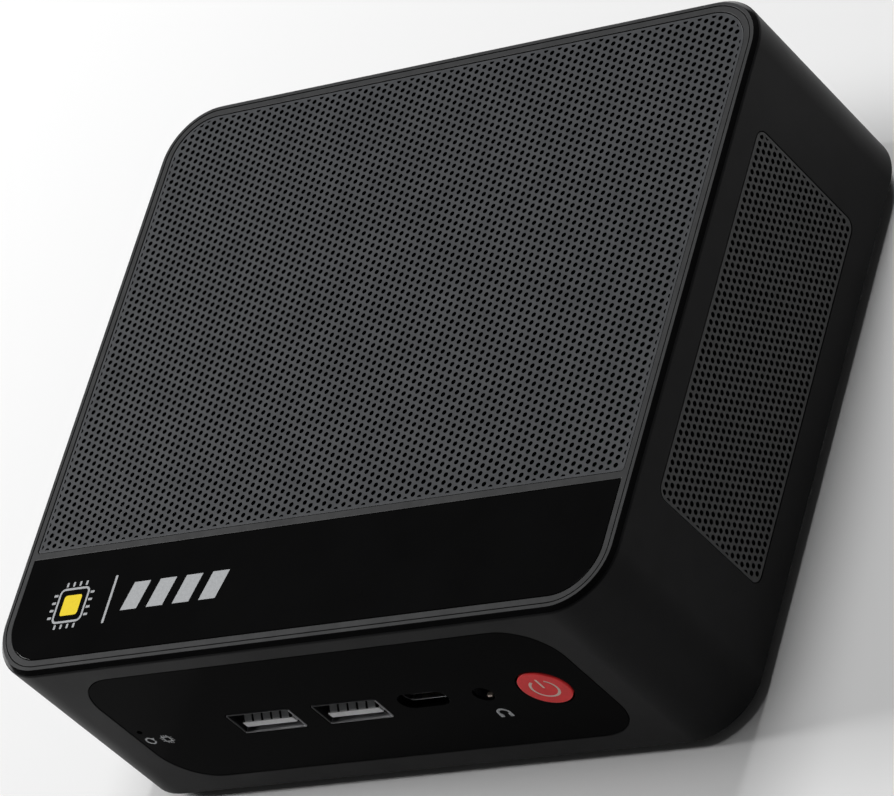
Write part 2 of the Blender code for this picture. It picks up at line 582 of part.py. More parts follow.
def rotor_blades(centre):
    """Thin upright blades round the hub, each leaning back from the radius."""
    bm = bmesh.new()
    count, inner, outer, lean = 13, 8.5, 27.0, math.radians(32)
    length = outer - inner
    for number in range(count):
        turn = Matrix.Rotation(2 * math.pi * number / count, 4, "Z")
        shift = Matrix.Translation(Vector((inner, 0, 0)) * MM)
        tilt = Matrix.Rotation(lean, 4, "Z")
        reach = Matrix.Translation(Vector((length / 2, 0, 0)) * MM)
        size = Matrix.Diagonal((length * MM, 0.8 * MM, 5.0 * MM, 1.0))
        bmesh.ops.create_cube(bm, size=1.0, matrix=turn @ shift @ tilt @ reach @ size)
    blades = object_from("fan_blades", mesh_from("fan_blades", bm), None)
    blades.location = Vector((*centre, 33.8)) * MM
    return blades


def memory():
    """Two laptop-size memory modules, one over the other, in one double socket under the board."""
    x, front, back = 6.0, -22.0, -16.5
    levels = ((8.6, 9.8), (13.0, 14.2))
    socket = block("memory_socket", (x - 36.5, front, 6.9), (x + 36.5, back, BOARD_LOW - GAP),
                   "socket_black")
    for name, side in (("left", -1), ("right", 1)):
        x0, x1 = sorted((x + side * 34.4, x + side * 36.5))
        join(socket, block("memory_arm_" + name, (x0, back - 1.0, 8.0), (x1, 8.0, 15.0)))
    for number, (low, high) in enumerate(levels, 1):
        cut(socket, block("memory_slot_%d" % number, (x - 34.1, front + 1.7, low - GAP),
                          (x + 34.1, back + 2.0, high + GAP)))
        module = block("memory_module_%d" % number, (x - 33.8, front + 2.0, low),
                       (x + 33.8, front + 32.0, high - 0.2), "board_green")
        chips = [((x - 30 + 15.5 * i, -8, low - 0.9), (x - 18 + 15.5 * i, 2, low + 0.1))
                 for i in range(4)]
        join(module, boxes("memory_chips_%d" % number, chips))


def storage():
    """The flash drive on a stick, its socket, and the screw that holds its far end."""
    x = -45.0
    socket = block("ssd_socket", (x - 11.5, -45.6, 11.9), (x + 11.5, -38.1, BOARD_LOW - GAP),
                   "socket_black")
    cut(socket, block("ssd_slot", (x - 11.3 + GAP, -42.3, 12.7), (x + 11.3 - GAP, -37, 14.1)))
    drive = block("ssd_module", (x - 11.0 + GAP / 2, -42.0, 13.0), (x + 11.0 - GAP / 2, 38.0, 13.8),
                  "board_green")
    join(drive, boxes("ssd_chips", [((x - 9, -34 + 22 * i, 11.9), (x + 9, -16 + 22 * i, 13.1))
                                    for i in range(3)]))
    cut(drive, cylinder("ssd_notch", 1.8, (x, 38.0, 12), (x, 38.0, 15), sides=16))
    screw = cylinder("ssd_screw", 2.7, (x, 38.0, 11.8), (x, 38.0, 12.7), "steel", 16)
    join(screw, cylinder("ssd_screw_shank", 1.4, (x, 38.0, 12.5), (x, 38.0, BOARD_LOW - GAP), sides=12))


def radio():
    """The wireless card in its socket, with a lead to an antenna beside each rear corner."""
    card = block("wifi_card", (7.0, 23.0, 13.0), (37.0, 45.0, 13.8), "board_green")
    join(card, block("wifi_can", (12.0, 25.0, 11.6), (33.0, 43.0, 13.1)))
    socket = block("wifi_socket", (2.5, 22.5, 11.9), (9.5, 45.5, BOARD_LOW - GAP), "socket_black")
    cut(socket, block("wifi_slot", (6.5, 22.7, 12.7), (12.0, 45.3, 14.1)))
    for name, sign in (("left", -1), ("right", 1)):
        x0, x1 = sorted((sign * 59.4, sign * 59.9))
        block("antenna_" + name, (x0, 37.0, 28.5), (x1, 49.0, 37.5), "board_green")
    antenna_lead("antenna_lead_left", [(15.0, 42.0, 14.6), (10.0, 46.9, 14.6), (-20.0, 46.6, 14.6),
                                       (-45.0, 45.0, 14.6), (-56.0, 44.2, 14.8), (-59.6, 44.0, 16.8),
                                       (-60.0, 44.0, 21.0), (-60.0, 44.0, 28.0)])
    antenna_lead("antenna_lead_right", [(28.0, 42.0, 14.6), (40.0, 45.4, 14.6), (52.0, 44.5, 14.7),
                                        (57.0, 44.2, 14.9), (59.7, 44.0, 17.0), (60.0, 44.0, 21.0),
                                        (60.0, 44.0, 28.0)])


def antenna_lead(name, knots):
    """A thin coaxial lead on a smooth line through its knots."""
    points = []
    ends = [knots[0]] + knots + [knots[-1]]
    for i in range(len(knots) - 1):
        p0, p1, p2, p3 = (Vector(p) for p in ends[i:i + 4])
        steps = max(2, int((p2 - p1).length / 3.0))
        for step in range(steps):
            t = step / steps
            points.append(0.5 * (2 * p1 + (p2 - p0) * t + (2 * p0 - 5 * p1 + 4 * p2 - p3) * t * t
                                 + (3 * p1 - p0 - 3 * p2 + p3) * t ** 3))
    points.append(Vector(knots[-1]))
    tube(name, points, 0.45, "chip_black", 1)


def clock_battery():
    x, y = 30.0, -37.0
    holder = cylinder("battery_holder", 11.3, (x, y, 12.9), (x, y, BOARD_LOW - GAP), "socket_black", 32)
    cut(holder, cylinder("battery_seat", 10.3, (x, y, 11.0), (x, y, 15.6), sides=32))
    cylinder("clock_battery", 10.0, (x, y, 12.1), (x, y, 15.3), "steel", 32)


clear_scene()
PARTS = make_collection("mini_pc")
CUTTERS = make_collection("cutters")
make_materials()
body_shell()
top_frame()
top_inserts()
front_panel()
rear_panel()
vent_grille("vent_grille_left", -1)
vent_grille("vent_grille_right", 1)
bottom_cover()
feet()
front_sockets()
power_button()
reset_switch()
video_sockets()
power_inlet()
usb_stack()
lan_socket()
mainboard()
cooler()
fan()
memory()
storage()
radio()
clock_battery()
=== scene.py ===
"""The looks of a small desktop computer in a rounded box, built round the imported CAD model.

Sizes are in millimetres and MM turns them into metres. The case stands on z = 0, its front faces
-Y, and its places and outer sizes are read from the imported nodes' boxes.
"""

import math

import bmesh
import bpy
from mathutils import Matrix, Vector
from mathutils.geometry import delaunay_2d_cdt


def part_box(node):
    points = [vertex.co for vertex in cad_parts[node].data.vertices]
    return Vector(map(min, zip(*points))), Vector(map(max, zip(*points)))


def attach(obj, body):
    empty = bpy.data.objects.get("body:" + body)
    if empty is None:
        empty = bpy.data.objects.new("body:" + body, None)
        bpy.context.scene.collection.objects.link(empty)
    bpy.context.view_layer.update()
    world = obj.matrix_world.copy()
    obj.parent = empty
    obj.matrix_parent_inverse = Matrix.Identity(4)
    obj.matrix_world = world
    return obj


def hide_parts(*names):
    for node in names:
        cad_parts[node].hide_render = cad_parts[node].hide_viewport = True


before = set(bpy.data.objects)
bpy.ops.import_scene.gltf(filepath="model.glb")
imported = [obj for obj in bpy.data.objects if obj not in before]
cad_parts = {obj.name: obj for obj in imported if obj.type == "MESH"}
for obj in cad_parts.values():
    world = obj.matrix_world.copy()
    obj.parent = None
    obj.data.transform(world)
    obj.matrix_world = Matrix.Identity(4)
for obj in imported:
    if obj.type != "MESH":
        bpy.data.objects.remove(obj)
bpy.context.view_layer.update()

MM = 0.001


def box_mm(node):
    """Lowest and highest corner of a CAD node, in millimetres."""
    low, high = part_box(node)
    return low / MM, high / MM


# ---------------------------------------------------------------- sizes
WALL_LOW, WALL_HIGH = box_mm("body_shell")
SIDE, FRONT = WALL_HIGH.x, WALL_HIGH.y
FOOT_LEVEL = WALL_LOW.z                # underside of the wall
HEIGHT = box_mm("top_frame")[1].z
FRAME_BASE = box_mm("top_frame")[0].z
CORNER_RADIUS = 10.65
CORNER_STEPS = 16
WALL = 2.0
WALL_TOP = 41.3                        # where the wall's soft top edge meets the frame's chamfer
SEAM = 0.15                            # half of the gap that the CAD keeps round an insert
SEAT_LEVEL = box_mm("top_grille")[0].z - 0.3
LEDGE = 1.6                            # how far the seat under the grille reaches in
RIM_INSET = 0.7                        # how far in the frame starts on the wall's top edge
WINDOW_RADIUS = 8.05
FLANGE = 1.15                          # how far a panel's hidden flange reaches past its window
PANEL_RADIUS, VENT_RADIUS = 8.6, 2.0
STRIP_RADIUS = 0.25                    # at the two corners of the strip next to the mesh
STRIP_LEVEL, PANEL_LEVEL = -0.05, -0.06    # how deep the two glossy faces lie in the case
INK, INK_ROOT = 0.02, 0.01             # how far a printed mark stands up, and reaches into its face

HOLE_SIDES = 10
TOP_PITCH, TOP_HOLE = 1.409, 0.46      # spacing and radius of the round holes in the top
TOP_FIRST_ROW = 52.31                  # middle of the rearmost hole of every other column
TOP_BORDER = 0.6                       # plain border between the window's edge and the holes
VENT_PITCH, VENT_HOLE = 1.3307, 0.47
VENT_FIRST_ROW, VENT_ROWS = 34.82, 20
VENT_BORDER = 0.6

BUTTON_LOW, BUTTON_HIGH = box_mm("power_button")
BUTTON_X, BUTTON_Z = (BUTTON_LOW.x + BUTTON_HIGH.x) / 2, (BUTTON_LOW.z + BUTTON_HIGH.z) / 2
BUTTON_RADIUS = 4.42
JACK_X = (box_mm("audio_jack")[0].x + box_mm("audio_jack")[1].x) / 2
JACK_Z, JACK_RADIUS = 21.7, 1.8
RESET_X, RESET_Z, RESET_RADIUS = -45.6, 21.75, 0.45
INLET_RADIUS, INLET_BORE = 3.3, 2.8
SCREW_SEAT = 2.75

SHARP_ANGLE = 32.0                     # edges that turn by more degrees than this stay sharp
NOISE_LOW, NOISE_HIGH = 0.3, 0.7       # the part of a noise texture's range that it really uses
EVEN = (1.0, 1.0, 1.0)                 # noise that isn't stretched along any axis


# ---------------------------------------------------------------- planes and outlines
class Plane:
    """A flat side of the case: u and v run along it and w stands out of it, in millimetres."""

    def __init__(self, u, v, origin=(0.0, 0.0, 0.0)):
        self.u, self.v, self.origin = Vector(u), Vector(v), Vector(origin)
        self.w = self.u.cross(self.v)

    def point(self, u, v, w=0.0):
        return self.origin + self.u * u + self.v * v + self.w * w

    def flat(self, point):
        return ((point - self.origin).dot(self.u), (point - self.origin).dot(self.v))


TOP = Plane((1, 0, 0), (0, 1, 0), (0, 0, HEIGHT))
GROUND = Plane((1, 0, 0), (0, 1, 0))
UNDER = Plane((1, 0, 0), (0, -1, 0))
FACE_FRONT = Plane((1, 0, 0), (0, 0, 1), (0, -FRONT, 0))
FACE_REAR = Plane((-1, 0, 0), (0, 0, 1), (0, FRONT, 0))
FACE_RIGHT = Plane((0, 1, 0), (0, 0, 1), (SIDE, 0, 0))
FACE_LEFT = Plane((0, -1, 0), (0, 0, 1), (-SIDE, 0, 0))


def rounded(low, high, radius, steps=8):
    """A rounded rectangle as a function of how far it is grown.

    The radius is one number, or one for each corner, counter-clockwise from the low-u low-v one.
    """
    radii = radius if isinstance(radius, tuple) else (radius,) * 4

    def shape(offset=0.0):
        u0, v0, u1, v1 = low[0] - offset, low[1] - offset, high[0] + offset, high[1] + offset
        points = []
        for corner, corner_radius in enumerate(radii):
            r = max(corner_radius + offset, 0.01)
            u = u0 + r if corner in (0, 3) else u1 - r
            v = v0 + r if corner in (0, 1) else v1 - r
            for step in range(steps + 1):
                angle = math.pi * (1 + corner / 2 + step / steps / 2)
                points.append((u + r * math.cos(angle), v + r * math.sin(angle)))
        return points
    return shape


def block(u, v, half_u, half_v, radius, steps=4):
    """A rounded rectangle about its middle, as a function of how far it is grown."""
    return rounded((u - half_u, v - half_v), (u + half_u, v + half_v), radius, steps)


def circle(u, v, radius, steps=32, turn=0.0):
    """A circle as a function of how far it is grown."""
    def shape(offset=0.0):
        r = radius + offset
        return [(u + r * math.cos(turn + 2 * math.pi * i / steps),
                 v + r * math.sin(turn + 2 * math.pi * i / steps)) for i in range(steps)]
    return shape


def case_outline(inset):
    """The case's outline seen from above, drawn in by some millimetres."""
    return rounded((-SIDE, -FRONT), (SIDE, FRONT), CORNER_RADIUS, CORNER_STEPS)(-inset)


def area(points):
    """The area inside an outline, negative if it runs clockwise."""
    return sum(a[0] * b[1] - b[0] * a[1] for a, b in zip(points, points[1:] + points[:1])) / 2


def within(point, polygon):
    """Whether a point lies inside a polygon."""
    inside = False
    for (u0, v0), (u1, v1) in zip(polygon, polygon[1:] + polygon[:1]):
        if (v0 > point[1]) != (v1 > point[1]):
            if point[0] < u0 + (u1 - u0) * (point[1] - v0) / (v1 - v0):
                inside = not inside
    return inside


def clipped(points, region):
    """The part of a convex outline that lies inside a convex region."""
    for (u0, v0), (u1, v1) in zip(region, region[1:] + region[:1]):
        if not points:
            break
        sides = [(u1 - u0) * (v - v0) - (v1 - v0) * (u - u0) for u, v in points]
        kept = []
        for i, (point, side) in enumerate(zip(points, sides)):
            after, side_after = points[(i + 1) % len(points)], sides[(i + 1) % len(points)]
            if side >= 0:
                kept.append(point)
            if (side >= 0) != (side_after >= 0):
                share = side / (side - side_after)
                kept.append((point[0] + (after[0] - point[0]) * share,
                             point[1] + (after[1] - point[1]) * share))
        points = kept
    return points


def without_doubles(points):
    """An outline without the points that lie almost on their neighbour."""
    closest = 0.02
    kept = []
    for point in points:
        if not kept or math.dist(point, kept[-1]) > closest:
            kept.append(point)
    while len(kept) > 1 and math.dist(kept[0], kept[-1]) <= closest:
        kept.pop()
    return kept


# ---------------------------------------------------------------- mesh drafts
class Draft:
    """A mesh in the making: points in millimetres, faces, and each face's material number."""

    def __init__(self):
        self.points, self.faces, self.looks, self.soft = [], [], [], []

    def ring(self, plane, outline, height=0.0):
        """Add an outline's points at a height over a plane, and return their numbers."""
        first = len(self.points)
        self.points += [plane.point(u, v, height) for u, v in outline]
        return list(range(first, len(self.points)))

    def face(self, corners, look=0, soft=True):
        self.faces.append(tuple(corners))
        self.looks.append(look)
        self.soft.append(soft)

    def band(self, start, end, look=0):
        """Quads between two rings. They face outwards where the second ring is the higher one."""
        for i in range(len(start)):
            j = (i + 1) % len(start)
            self.face((start[i], start[j], end[j], end[i]), look)

    def loft(self, rings, look=0):
        for start, end in zip(rings, rings[1:]):
            self.band(start, end, look)

    def fill(self, plane, outer, holes=(), look=0, turned=False):
        """Fill a flat outline, leaving its holes open. It faces the plane's +w unless turned."""
        loops = [outer, *holes]
        numbers = [i for loop in loops for i in loop]
        owner = [n for n, loop in enumerate(loops) for _ in loop]
        flat = [plane.flat(self.points[i]) for i in numbers]
        edges, outlines, first = [], [], 0
        for loop in loops:
            count = len(loop)
            edges += [(first + k, first + (k + 1) % count) for k in range(count)]
            outlines.append(flat[first:first + count])
            first += count
        made = delaunay_2d_cdt([Vector(p) for p in flat], edges, [], 0, 1e-6)
        for triangle in made[2]:
            corners = [made[3][i][0] for i in triangle]
            loop = owner[corners[0]]
            places = [flat[i] for i in corners]
            if loop == owner[corners[1]] == owner[corners[2]]:
                middle = [sum(p[axis] for p in places) / 3 for axis in (0, 1)]
                if within(middle, outlines[loop]) == (loop > 0):
                    continue
            if (area(places) < 0) != turned:
                corners.reverse()
            self.face([numbers[i] for i in corners], look, soft=False)

    def relook(self, look, chosen):
        """Give another material to the faces whose middle passes a test."""
        for number, face in enumerate(self.faces):
            corners = [self.points[i] for i in face]
            if chosen(sum(corners, Vector()) / len(corners)):
                self.looks[number] = look

    def piece(self, name, body, looks, replaces=(), even=False):
        """Make the object, put it on its body and hide the CAD nodes that it stands for.

        Filled outlines are shaded flat. With even, they are shaded smoothly by their size instead.
        """
        closest = 0.002 * MM
        mesh = bpy.data.meshes.new(name)
        mesh.from_pydata([p * MM for p in self.points], [], self.faces)
        for look in looks:
            mesh.materials.append(look)
        mesh.polygons.foreach_set("material_index", self.looks)
        mesh.polygons.foreach_set("use_smooth", [soft or even for soft in self.soft])
        bm = bmesh.new()
        bm.from_mesh(mesh)
        bmesh.ops.remove_doubles(bm, verts=bm.verts, dist=closest)
        loose = [vert for vert in bm.verts if not vert.link_faces]
        bmesh.ops.delete(bm, geom=loose, context="VERTS")
        bm.to_mesh(mesh)
        bm.free()
        soft = [polygon.use_smooth for polygon in mesh.polygons]
        mesh.set_sharp_from_angle(angle=math.radians(SHARP_ANGLE))
        mesh.polygons.foreach_set("use_smooth", soft)
        item = bpy.data.objects.new(name, mesh)
        bpy.context.scene.collection.objects.link(item)
        if even:
            modifier = item.modifiers.new("even shading", "WEIGHTED_NORMAL")
            modifier.keep_sharp = True
        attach(item, body)
        if replaces:
            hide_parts(*replaces)


def edge_rings(draft, plane, shape, level, edge, steps=3, sign=-1):
    """Rings of a rounded edge, from the flat face down: a plate's edge, or with sign 1 a hole's."""
    rings = []
    for step in range(steps + 1):
        turn = math.pi / 2 * step / steps
        offset, drop = edge * (1 - math.sin(turn)), edge * (1 - math.cos(turn))
        rings.append(draft.ring(plane, shape(sign * offset), level - drop))
    return rings


def plate(draft, plane, outline, holes, level, depth, edge=0.15, hole_edge=0.1, look=0):
    """A closed plate with rounded edges, whose face lies at a level over the plane."""
    outer = edge_rings(draft, plane, outline, level, edge)
    outer.append(draft.ring(plane, outline(), level - depth))
    draft.loft(outer[::-1], look)
    tops, bottoms = [], []
    for hole in holes:
        rings = edge_rings(draft, plane, hole, level, hole_edge, 2, 1)
        rings.append(draft.ring(plane, hole(), level - depth))
        draft.loft(rings, look)
        tops.append(rings[0])
        bottoms.append(rings[-1])
    draft.fill(plane, outer[0], tops, look)
    draft.fill(plane, outer[-1], bottoms, look, turned=True)


def solid(draft, plane, outline, level, depth, edge=0.05, look=0):
    """A small closed block under an outline, with a rounded face edge."""
    plate(draft, plane, outline, (), level, depth, edge, look=look)


def turned(draft, centre, profile, look=0, steps=48, axis=TOP):
    """A turned shape about a plane's w axis, from (radius, height) pairs from the bottom up."""
    rings = [draft.ring(axis, circle(centre[0], centre[1], radius, steps)(), height)
             for radius, height in profile]
    draft.loft(rings, look)
    draft.fill(axis, rings[0], (), look, turned=True)
    draft.fill(axis, rings[-1], (), look)


def stroke(points, width):
    """The outline of a line of some width through the points."""
    left, right = [], []
    for i, point in enumerate(points):
        before, after = points[max(i - 1, 0)], points[min(i + 1, len(points) - 1)]
        along = Vector((after[0] - before[0], after[1] - before[1])).normalized()
        across = Vector((-along.y, along.x)) * width / 2
        left.append((point[0] + across.x, point[1] + across.y))
        right.append((point[0] - across.x, point[1] - across.y))
    return right + left[::-1]


def arc(u, v, radius, start, end, steps=24):
    """Points along an arc between two angles in degrees."""
    return [(u + radius * math.cos(math.radians(start + (end - start) * i / steps)),
             v + radius * math.sin(math.radians(start + (end - start) * i / steps)))
            for i in range(steps + 1)]


def printed(draft, plane, outline, level, look=0, hole=None):
    """A printed mark: a very thin raised shape on a face, with a hole in it or none."""
    if area(outline) < 0:
        outline = outline[::-1]
    low, high = draft.ring(plane, outline, level - INK_ROOT), draft.ring(plane, outline, level + INK)
    draft.band(low, high, look)
    holes = []
    if hole:
        holes.append(draft.ring(plane, hole, level + INK))
        draft.band(holes[0], draft.ring(plane, hole, level - INK_ROOT), look)
    draft.fill(plane, high, holes, look)


def printed_bar(draft, plane, low, high, level, radius=0.1, steps=2, look=0):
    """A printed rectangle with rounded corners."""
    printed(draft, plane, rounded(low, high, radius, steps)(), level, look)


def printed_pins(draft, plane, centre, places, ends, half, level, radius=0.1, steps=2):
    """Short printed bars on the four sides of a square sign, from one distance to another."""
    u, v = centre
    for along in places:
        for side in (-1, 1):
            near, far = sorted(side * end for end in ends)
            printed_bar(draft, plane, (u + along - half, v + near), (u + along + half, v + far),
                        level, radius, steps)
            printed_bar(draft, plane, (u + near, v + along - half), (u + far, v + along + half),
                        level, radius, steps)


# ---------------------------------------------------------------- materials
class Look:
    """A node material: a Principled shader with fine relief and slow variation added to it."""

    def __init__(self, name, colour, roughness, metallic=0.0, specular=0.5):
        self.material = bpy.data.materials.new(name)
        self.material.use_nodes = True
        self.tree = self.material.node_tree
        self.shader = self.tree.nodes["Principled BSDF"]
        self.colour, self.roughness = colour, roughness
        self.put(self.shader, "Base Color", (*colour, 1.0))
        self.put(self.shader, "Roughness", roughness)
        self.put(self.shader, "Metallic", metallic)
        self.put(self.shader, "Specular IOR Level", specular)
        self.normal = None

    def put(self, node, socket, value):
        node.inputs[socket].default_value = value

    def link(self, source, target):
        self.tree.links.new(source, target)

    def noise(self, size_mm, stretch):
        """Noise whose grains are about so many millimetres, in the object's own space."""
        where = self.tree.nodes.new("ShaderNodeTexCoord")
        scale = self.tree.nodes.new("ShaderNodeMapping")
        scale.inputs["Scale"].default_value = [1.0 / (size_mm * MM * s) for s in stretch]
        texture = self.tree.nodes.new("ShaderNodeTexNoise")
        self.put(texture, "Scale", 1.0)
        self.put(texture, "Detail", 3.0)
        self.link(where.outputs["Object"], scale.inputs["Vector"])
        self.link(scale.outputs["Vector"], texture.inputs["Vector"])
        return texture.outputs["Fac"]

    def spread(self, value, low, high):
        """A noise value turned into one between two numbers."""
        node = self.tree.nodes.new("ShaderNodeMapRange")
        self.put(node, "From Min", NOISE_LOW)
        self.put(node, "From Max", NOISE_HIGH)
        self.put(node, "To Min", low)
        self.put(node, "To Max", high)
        self.link(value, node.inputs["Value"])
        return node.outputs["Result"]

    def relief(self, value, depth_mm):
        """Bump from a value; later calls add to earlier ones."""
        bump = self.tree.nodes.new("ShaderNodeBump")
        self.put(bump, "Strength", 1.0)
        self.put(bump, "Distance", depth_mm * MM)
        self.link(value, bump.inputs["Height"])
        if self.normal:
            self.link(self.normal, bump.inputs["Normal"])
        self.normal = bump.outputs["Normal"]
        self.link(self.normal, self.shader.inputs["Normal"])

    def vary_roughness(self, size_mm, amount, stretch=EVEN):
        value = self.spread(self.noise(size_mm, stretch), self.roughness - amount,
                            self.roughness + amount)
        self.link(value, self.shader.inputs["Roughness"])

    def vary_colour(self, size_mm, amount):
        """Mix the colour with a darker and a lighter one."""
        ramp = self.tree.nodes.new("ShaderNodeValToRGB")
        ramp.color_ramp.elements[0].position = NOISE_LOW
        ramp.color_ramp.elements[1].position = NOISE_HIGH
        for element, factor in zip(ramp.color_ramp.elements, (1 - amount, 1 + amount)):
            element.color = (*[min(c * factor, 1.0) for c in self.colour], 1.0)
        self.link(self.noise(size_mm, EVEN), ramp.inputs["Fac"])
        self.link(ramp.outputs["Color"], self.shader.inputs["Base Color"])

    def grain(self, size_mm, depth_mm, stretch=EVEN):
        self.relief(self.noise(size_mm, stretch), depth_mm)

def finish(name, colour, roughness, grain, rough=None, tone=None, **shading):
    """A material with fine relief and slow changes.

    Grain is its size, depth and stretch. Rough and tone are the size and the amount of the slow
    changes in roughness and in colour.
    """
    look = Look(name, colour, roughness, **shading)
    look.grain(*grain)
    if rough:
        look.vary_roughness(*rough)
    if tone:
        look.vary_colour(*tone)
    return look.material


def ink(name, colour, amount):
    return finish(name, colour, 0.5, (0.08, 0.003), None, (0.5, amount), specular=0.3)


def steel(name, colour, roughness=0.3):
    """Brushed steel: its grain runs along y."""
    return finish(name, colour, roughness, (0.06, 0.002, (1, 8, 1)), (1.2, 0.07, (1, 6, 1)),
                  (2.0, 0.08), metallic=1.0)


def circuit_board():
    """Solder mask over copper tracks: a brick pattern gives the tracks their straight runs."""
    mask, dark_mask, track = (0.010, 0.048, 0.026), (0.008, 0.040, 0.022), (0.030, 0.110, 0.060)
    look = Look("circuit board", mask, 0.36)
    where = look.tree.nodes.new("ShaderNodeTexCoord")
    tracks = look.tree.nodes.new("ShaderNodeTexBrick")
    look.put(tracks, "Scale", 1.0 / (9.0 * MM))
    look.put(tracks, "Mortar Size", 0.03)
    look.put(tracks, "Color1", (*mask, 1.0))
    look.put(tracks, "Color2", (*dark_mask, 1.0))
    look.put(tracks, "Mortar", (*track, 1.0))
    look.link(where.outputs["Object"], tracks.inputs["Vector"])
    look.link(tracks.outputs["Color"], look.shader.inputs["Base Color"])
    look.relief(tracks.outputs["Fac"], 0.02)
    look.grain(0.3, 0.004)
    look.vary_roughness(3.0, 0.05)
    return look.material


SHELL = finish("moulded matte black", (0.0074, 0.0074, 0.0078), 0.46, (0.22, 0.008), (9.0, 0.03),
    (4.0, 0.12), specular=0.085)
FRAME_GREY = finish("painted grey metal", (0.043, 0.0435, 0.0445), 0.42, (0.12, 0.004),
    (6.0, 0.04), (1.5, 0.08), specular=0.26)
MESH_GREY = finish("painted grey sheet", (0.0515, 0.0535, 0.0575), 0.5, (0.1, 0.004), (5.0, 0.05),
    (0.8, 0.1), specular=0.3)
VENT_GREY = finish("painted dark sheet", (0.052, 0.0526, 0.0532), 0.5, (0.1, 0.004), (5.0, 0.05),
    (0.8, 0.1), specular=0.25)
GLOSS = finish("gloss black", (0.0038, 0.0038, 0.0039), 0.05, (14.0, 0.003), (25.0, 0.02),
    (12.0, 0.1), specular=0.07)
PANEL = finish("gloss black panel", (0.0015, 0.0015, 0.0016), 0.06, (14.0, 0.003), (25.0, 0.02),
    (12.0, 0.1), specular=0.006)
CHAMFER = finish("polished black edge", (0.003, 0.003, 0.0032), 0.16, (0.4, 0.001), (8.0, 0.03),
    (3.0, 0.1), specular=0.2)
# Near-black painted shade for the walls of holes, the frame's groove and the seams round its windows.
SHADE_BLACK = finish("painted shade black", (0.004, 0.004, 0.004), 0.7, (0.2, 0.004), None, (1.0, 0.2),
    specular=0.2)
RED = finish("red plastic", (0.93, 0.045, 0.048), 0.4, (0.16, 0.004), (2.0, 0.04), (1.0, 0.05),
    specular=0.12)
# Light inlay colour of the button's sign, also used as a painted glint in the audio socket.
INLAY_AND_GLINT = finish("light inlay and painted glint", (0.86, 0.72, 0.62), 0.4, (0.1, 0.003), None, (0.6, 0.08),
    specular=0.3)
INK_GREY = ink("light grey ink", (0.40, 0.41, 0.42), 0.08)
YELLOW = ink("yellow ink", (0.86, 0.65, 0.012), 0.05)
STEEL = steel("nickel steel", (0.42, 0.42, 0.43))
DARK_STEEL = steel("dark steel", (0.10, 0.10, 0.105), 0.38)
# Painted shade and painted highlight: near-black steel for the parts of socket shells in shade, and a
# lighter steel for their lit lips.
SHADED_STEEL = steel("steel in painted shade", (0.035, 0.035, 0.037), 0.4)
LIT_LIP_STEEL = steel("steel lip with painted highlight", (0.19, 0.19, 0.195), 0.36)
COPPER = finish("copper", (0.72, 0.33, 0.19), 0.28, (0.08, 0.002, (8, 1, 1)), (2.0, 0.08),
    (3.0, 0.12), metallic=1.0)
ALUMINIUM = finish("aluminium", (0.62, 0.63, 0.65), 0.34, (0.06, 0.002, (1, 1, 8)), (2.0, 0.06),
    (3.0, 0.06), metallic=1.0)
GOLD = finish("gilt contact", (0.66, 0.46, 0.20), 0.3, (0.05, 0.001), (0.6, 0.08), (0.8, 0.1),
    metallic=1.0)
RUBBER = finish("rubber", (0.016, 0.016, 0.016), 0.78, (0.18, 0.012), (2.0, 0.06), (1.0, 0.2),
    specular=0.3)
BLACK = finish("black plastic", (0.011, 0.011, 0.012), 0.42, (0.15, 0.004), (1.5, 0.06),
    (1.0, 0.15), specular=0.35)
GREY = finish("grey insulator", (0.30, 0.305, 0.31), 0.45, (0.12, 0.003), (1.0, 0.05),
    (0.8, 0.06), specular=0.4)
TONGUE_GREY = finish("light insulator", (0.64, 0.645, 0.65), 0.45, (0.12, 0.003), (1.0, 0.05),
    (0.8, 0.05), specular=0.4)
BOARD = circuit_board()


# ---------------------------------------------------------------- case
def panel_window(node):
    """The window that a front or rear panel shows in. Its box lies evenly about x = 0."""
    low, high = box_mm(node)
    return rounded((low.x + FLANGE, low.z + FLANGE), (high.x - FLANGE, high.z - FLANGE),
                   PANEL_RADIUS, 14)


def vent_window():
    low, high = box_mm("vent_grille_right")
    return rounded((low.y + FLANGE, low.z + FLANGE), (high.y - FLANGE, high.z - FLANGE),
                   VENT_RADIUS, 8)


def wall_sides():
    """Each flat side's plane with the window in it, in the order the case outline meets them."""
    front, vent = panel_window("front_panel"), vent_window()
    return ((FACE_FRONT, front), (FACE_RIGHT, vent), (FACE_REAR, front), (FACE_LEFT, vent))


